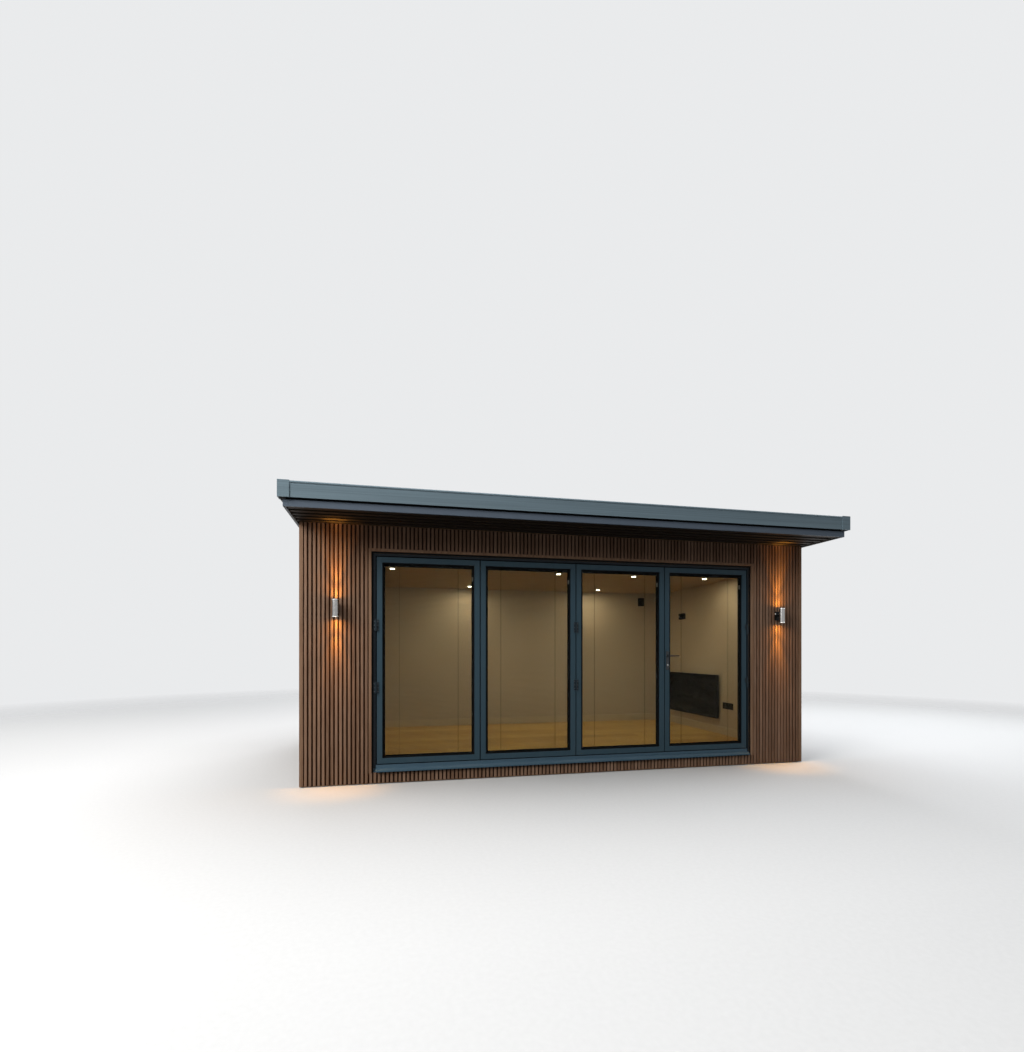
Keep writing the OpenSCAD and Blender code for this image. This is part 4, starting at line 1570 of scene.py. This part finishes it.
@dataclass
class RoomFittings:
    """Downlights, the wall screen, sockets and the small boxes."""

    lens_share: float = 0.30
    lens_power: float = 3.9
    lens_colour: tuple[float, float, float] = (1.0, 0.84, 0.60)
    lamp_drop: float = 0.006
    ring_edge: float = 0.0005
    housing_edge: float = 0.003
    bezel: float = 0.011
    box_edge: float = 0.0025
    sunk: float = 0.001
    glass_proud: float = 0.0008
    glass_edge: float = 0.0003
    rocker_proud: float = 0.0022
    rocker_edge: float = 0.0008
    switch_margin: tuple[float, float] = (0.010, 0.014)
    switch_split: float = 0.004
    socket_sides: tuple[float, float] = (0.022, 0.034)
    socket_rocker: float = 0.012
    socket_levels: tuple[float, float] = (0.030, 0.010)
    display_proud: float = 0.0012
    display_edge: float = 0.0004
    display_low: tuple[float, float] = (0.012, 0.016)
    display_high: tuple[float, float] = (0.040, 0.012)
    knob_radius: float = 0.012
    knob_inset: float = 0.020
    ribs: int = 9
    rib_margin: float = 0.012
    rib_side: float = 0.007
    rib_section: tuple[float, float] = (0.003, 0.0035)
    rib_edge: float = 0.001
    rib_proud: float = 0.0008

    def downlights(self) -> None:
        """Downlights with a ring and an opal lens, each with its own light."""
        lenses = Piece()
        for i, (low, high) in enumerate(solids("ceiling_downlights")):
            x, y = (low.x + high.x) / 2, (low.y + high.y) / 2
            radius = self.lens_share * (high.x - low.x)
            rim = 0.985 * radius
            lens = [(0.0, 0.0035), (rim, 0.0035), (rim, 0.001), (0.6 * radius, -0.0012), (0.0, -0.002)]
            lenses.turned(lens, (x, y, low.z), Axis.Z)
            add_lamp(f"downlight_{i}", "AREA", (x, y, low.z - self.lamp_drop), (0.0, 0.0, 0.0), {
                "shape": "DISK", "size": 2 * radius, "energy": self.lens_power, "color": self.lens_colour,
            })
        soften("ceiling_downlights", "downlight_rings", self.ring_edge, Finishes.RING)
        lenses.finish("downlight_lenses", Finishes.CEILING_GLOW)

    def plate(self, piece: Piece, x: float, proud: float, low: Point, high: Point) -> Piece:
        """Add a flat part to a front that faces -X.

        Args:
            piece: The piece that it is added to.
            x: Where the front lies.
            proud: How far the part stands out of it.
            low: The lowest y and z of the part.
            high: The highest y and z.

        Returns:
            The piece.
        """
        return piece.box((x - proud, *low), (x + self.sunk, *high))

    def screen(self) -> None:
        """The wall screen: housing, front glass and bezel."""
        soften("wall_screen", "screen_housing", self.housing_edge, Finishes.BLACK)
        low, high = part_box("wall_screen")
        edge = self.bezel
        spans = (low.y + edge, low.z + 1.6 * edge), (high.y - edge, high.z - edge)
        glass = self.plate(Piece(), low.x, self.glass_proud, *spans)
        glass.softened(self.glass_edge).finish("screen_glass", Finishes.SCREEN)

    def rockers(self, switch: tuple[Vector, Vector], socket: tuple[Vector, Vector]) -> None:
        """The rockers on the two low plates.

        Args:
            switch: Lowest and highest corner of the plate with one wide rocker.
            socket: Lowest and highest corner of the plate with two small ones.
        """
        rockers = Piece()
        out, (side, end) = self.rocker_proud, self.switch_margin
        low, high = switch
        split = (low.y + high.y) / 2 - self.switch_split
        self.plate(rockers, low.x, out, (low.y + side, low.z + end), (split, high.z - end))
        low, high = socket
        foot, head = (high.z - level for level in self.socket_levels)
        for y in (low.y + self.socket_sides[0], high.y - self.socket_sides[1]):
            self.plate(rockers, low.x, out, (y, foot), (y + self.socket_rocker, head))
        rockers.softened(self.rocker_edge).finish("wall_rockers", Finishes.ROCKER)

    def faces(self) -> None:
        """The moving and shining parts on the fronts of the small boxes."""
        soften("wall_fittings", "wall_boxes", self.box_edge, Finishes.BLACK)
        speaker, control, socket, switch = solids("wall_fittings")
        self.rockers(switch, socket)
        low, high = control
        (left, foot), (right, head) = self.display_low, self.display_high
        spans = (low.y + left, low.z + foot), (high.y - right, high.z - head)
        glass = self.plate(Piece(), low.x, self.display_proud, *spans)
        glass.softened(self.display_edge).finish("control_display", Finishes.SCREEN)
        radius = self.knob_radius
        turn = [(0.0, 0.001), (radius, 0.001), (radius, -0.006), (0.875 * radius, -0.008), (0.0, -0.0085)]
        knob = Piece().turned(turn, (low.x, high.y - self.knob_inset, (low.z + high.z) / 2), Axis.X, 28)
        knob.finish("control_knob", Finishes.PALE_PLASTIC)
        low, high = speaker
        step = (high.z - low.z - 2 * self.rib_margin) / (self.ribs - 1)
        width = high.x - low.x - 2 * self.rib_side
        row = BarRow(self.ribs, (0.0, 0.0, 0.0), (0.0, step, 0.0), *self.rib_section, width, self.rib_edge)
        place = lying((low.x + self.rib_side, low.y - self.rib_proud, low.z + self.rib_margin))
        Piece().added(row.grow(Finishes.BLACK, place)).finish("speaker_grille", Finishes.BLACK)

    def build(self) -> None:
        """Make every fitting."""
        self.downlights()
        self.screen()
        self.faces()


WARM_WHITE = (1.0, 0.98, 0.95)
COOL_WHITE = (0.95, 0.98, 1.0)
SKY_WHITE = (0.97, 0.98, 1.0)


@dataclass(frozen=True)
class SoftBox:
    """A square lamp of the studio. Its size is its width, and its power is in watts."""

    name: str
    place: Point
    aim: Point
    size: float
    power: float
    colour: Point


@dataclass
class Studio:
    """Camera, floor, background and lamps, none of which belong to the pod."""

    eye: tuple[float, float, float] = (-1.749, -6.37, 1.18)
    yaw_right: float = 12.54
    focal_px: float = 535.0
    horizon_row: float = 652.0
    centre_column: float = 511.0
    sensor: float = 36.0
    far_clip: float = 200.0
    ground_radius: float = 60.0
    ground_fade: tuple[float, float] = (4.5, 13.0)
    ground_greys: tuple[Colour, Colour] = ((0.52, 0.52, 0.52, 1.0), (0.57, 0.57, 0.57, 1.0))
    bounce_grey: Colour = (0.16, 0.16, 0.16, 1.0)
    backdrop: Colour = (0.82, 0.83, 0.84, 1.0)
    sky: Colour = (0.9, 0.95, 1.0, 1.0)
    sky_power: float = 0.15
    lamps: tuple[SoftBox, ...] = (
        SoftBox("key", (-6.6, -5.6, 5.2), (0.0, -1.5, 1.2), 4.0, 680.0, WARM_WHITE),
        SoftBox("fill", (-1.0, -10.0, 8.0), (0.0, -1.0, 1.2), 5.0, 190.0, COOL_WHITE),
        SoftBox("top", (0.0, 0.5, 10.0), (0.0, 0.0, 2.0), 8.0, 900.0, SKY_WHITE),
        SoftBox("back", (2.0, 10.0, 6.0), (0.0, 1.0, 1.2), 6.0, 800.0, SKY_WHITE),
        SoftBox("left", (-9.0, 1.5, 5.0), (-2.5, 0.5, 1.2), 5.0, 260.0, WARM_WHITE),
        SoftBox("right", (8.0, 0.5, 5.0), (2.5, 0.5, 1.2), 5.0, 380.0, COOL_WHITE),
    )

    def camera(self) -> None:
        """The camera at the photograph's place and angle."""
        data = bpy.data.cameras.new("camera")
        longest = max(IMAGE_W, IMAGE_H)
        data.sensor_fit = "AUTO"
        data.sensor_width = self.sensor
        data.lens = self.sensor * self.focal_px / longest
        data.shift_x = (IMAGE_W / 2 - self.centre_column) / longest
        data.shift_y = (self.horizon_row - IMAGE_H / 2) / longest
        data.clip_end = self.far_clip
        camera = linked("camera", data)
        camera.location = self.eye
        camera.rotation_euler = (math.radians(90), 0.0, math.radians(-self.yaw_right))
        bpy.context.scene.camera = camera

    def seen(self, board: ShaderBoard) -> Wire:
        """1 for rays that show a colour to the eye, straight or in metal and glass."""
        path = board.node("ShaderNodeLightPath", output="Is Camera Ray")
        return path.at_least(path.out("Is Glossy Ray")).at_least(path.out("Is Transmission Ray"))

    def ground(self) -> None:
        """A pale floor that fades into the background."""
        disc = bmesh.new()
        bmesh.ops.create_circle(disc, cap_ends=True, segments=96, radius=self.ground_radius)
        mesh = bpy.data.meshes.new("ground")
        disc.to_mesh(mesh)
        disc.free()
        material = bpy.data.materials.new("pale_ground")
        board = ShaderBoard(material)
        place = board.place()
        reach = board.node("ShaderNodeVectorMath", {"operation": "LENGTH"}, {0: place}, "Value")
        pale = board.mix(board.noise(place, 40.0, 4.0), *self.ground_greys)
        colour = board.mix(self.seen(board), self.bounce_grey, pale)
        matt = board.surface(colour, 0.9, {"Specular IOR Level": 0.1})
        through = board.node("ShaderNodeBsdfTransparent")
        sockets = {0: board.spread(reach, *self.ground_fade), 1: matt, 2: through}
        board.end("ShaderNodeOutputMaterial", board.node("ShaderNodeMixShader", None, sockets))
        mesh.materials.append(material)
        ground = linked("ground", mesh)

    def background(self) -> None:
        """A pale background, and a soft even light from all round."""
        world = bpy.data.worlds.new("studio")
        board = ShaderBoard(world)
        seen = board.node("ShaderNodeBackground", None, {"Color": self.backdrop, "Strength": 1.0})
        light = board.node("ShaderNodeBackground", None, {"Color": self.sky, "Strength": self.sky_power})
        both = board.node("ShaderNodeMixShader", None, {0: self.seen(board), 1: light, 2: seen})
        board.end("ShaderNodeOutputWorld", both)
        bpy.context.scene.world = world

    def build(self) -> None:
        """Set up the studio."""
        self.camera()
        self.ground()
        self.background()
        for lamp in self.lamps:
            turn = (Vector(lamp.aim) - Vector(lamp.place)).to_track_quat("-Z", "Y").to_euler()
            settings = {"size": lamp.size, "energy": lamp.power, "color": lamp.colour}
            add_lamp(lamp.name, "AREA", lamp.place, turn, settings)
        bpy.context.scene.view_settings.view_transform = "Standard"


def main() -> None:
    """Build the studio and every part of the pod."""
    logging.basicConfig(level=logging.INFO, format="%(name)s %(message)s")
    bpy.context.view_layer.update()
    for part in (Studio(), Shell(), Cladding(), Roof(), GlassDoors(), Handle(), WallLights(), RoomFittings()):
        LOG.info("building %s", type(part).__name__)
        part.build()


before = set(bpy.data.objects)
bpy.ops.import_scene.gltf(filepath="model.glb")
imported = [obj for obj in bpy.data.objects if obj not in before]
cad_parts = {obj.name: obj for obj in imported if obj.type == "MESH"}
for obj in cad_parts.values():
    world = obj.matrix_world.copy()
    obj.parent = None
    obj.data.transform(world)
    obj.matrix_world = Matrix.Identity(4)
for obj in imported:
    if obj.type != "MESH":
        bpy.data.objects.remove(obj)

if __name__ == "__main__":
    main()
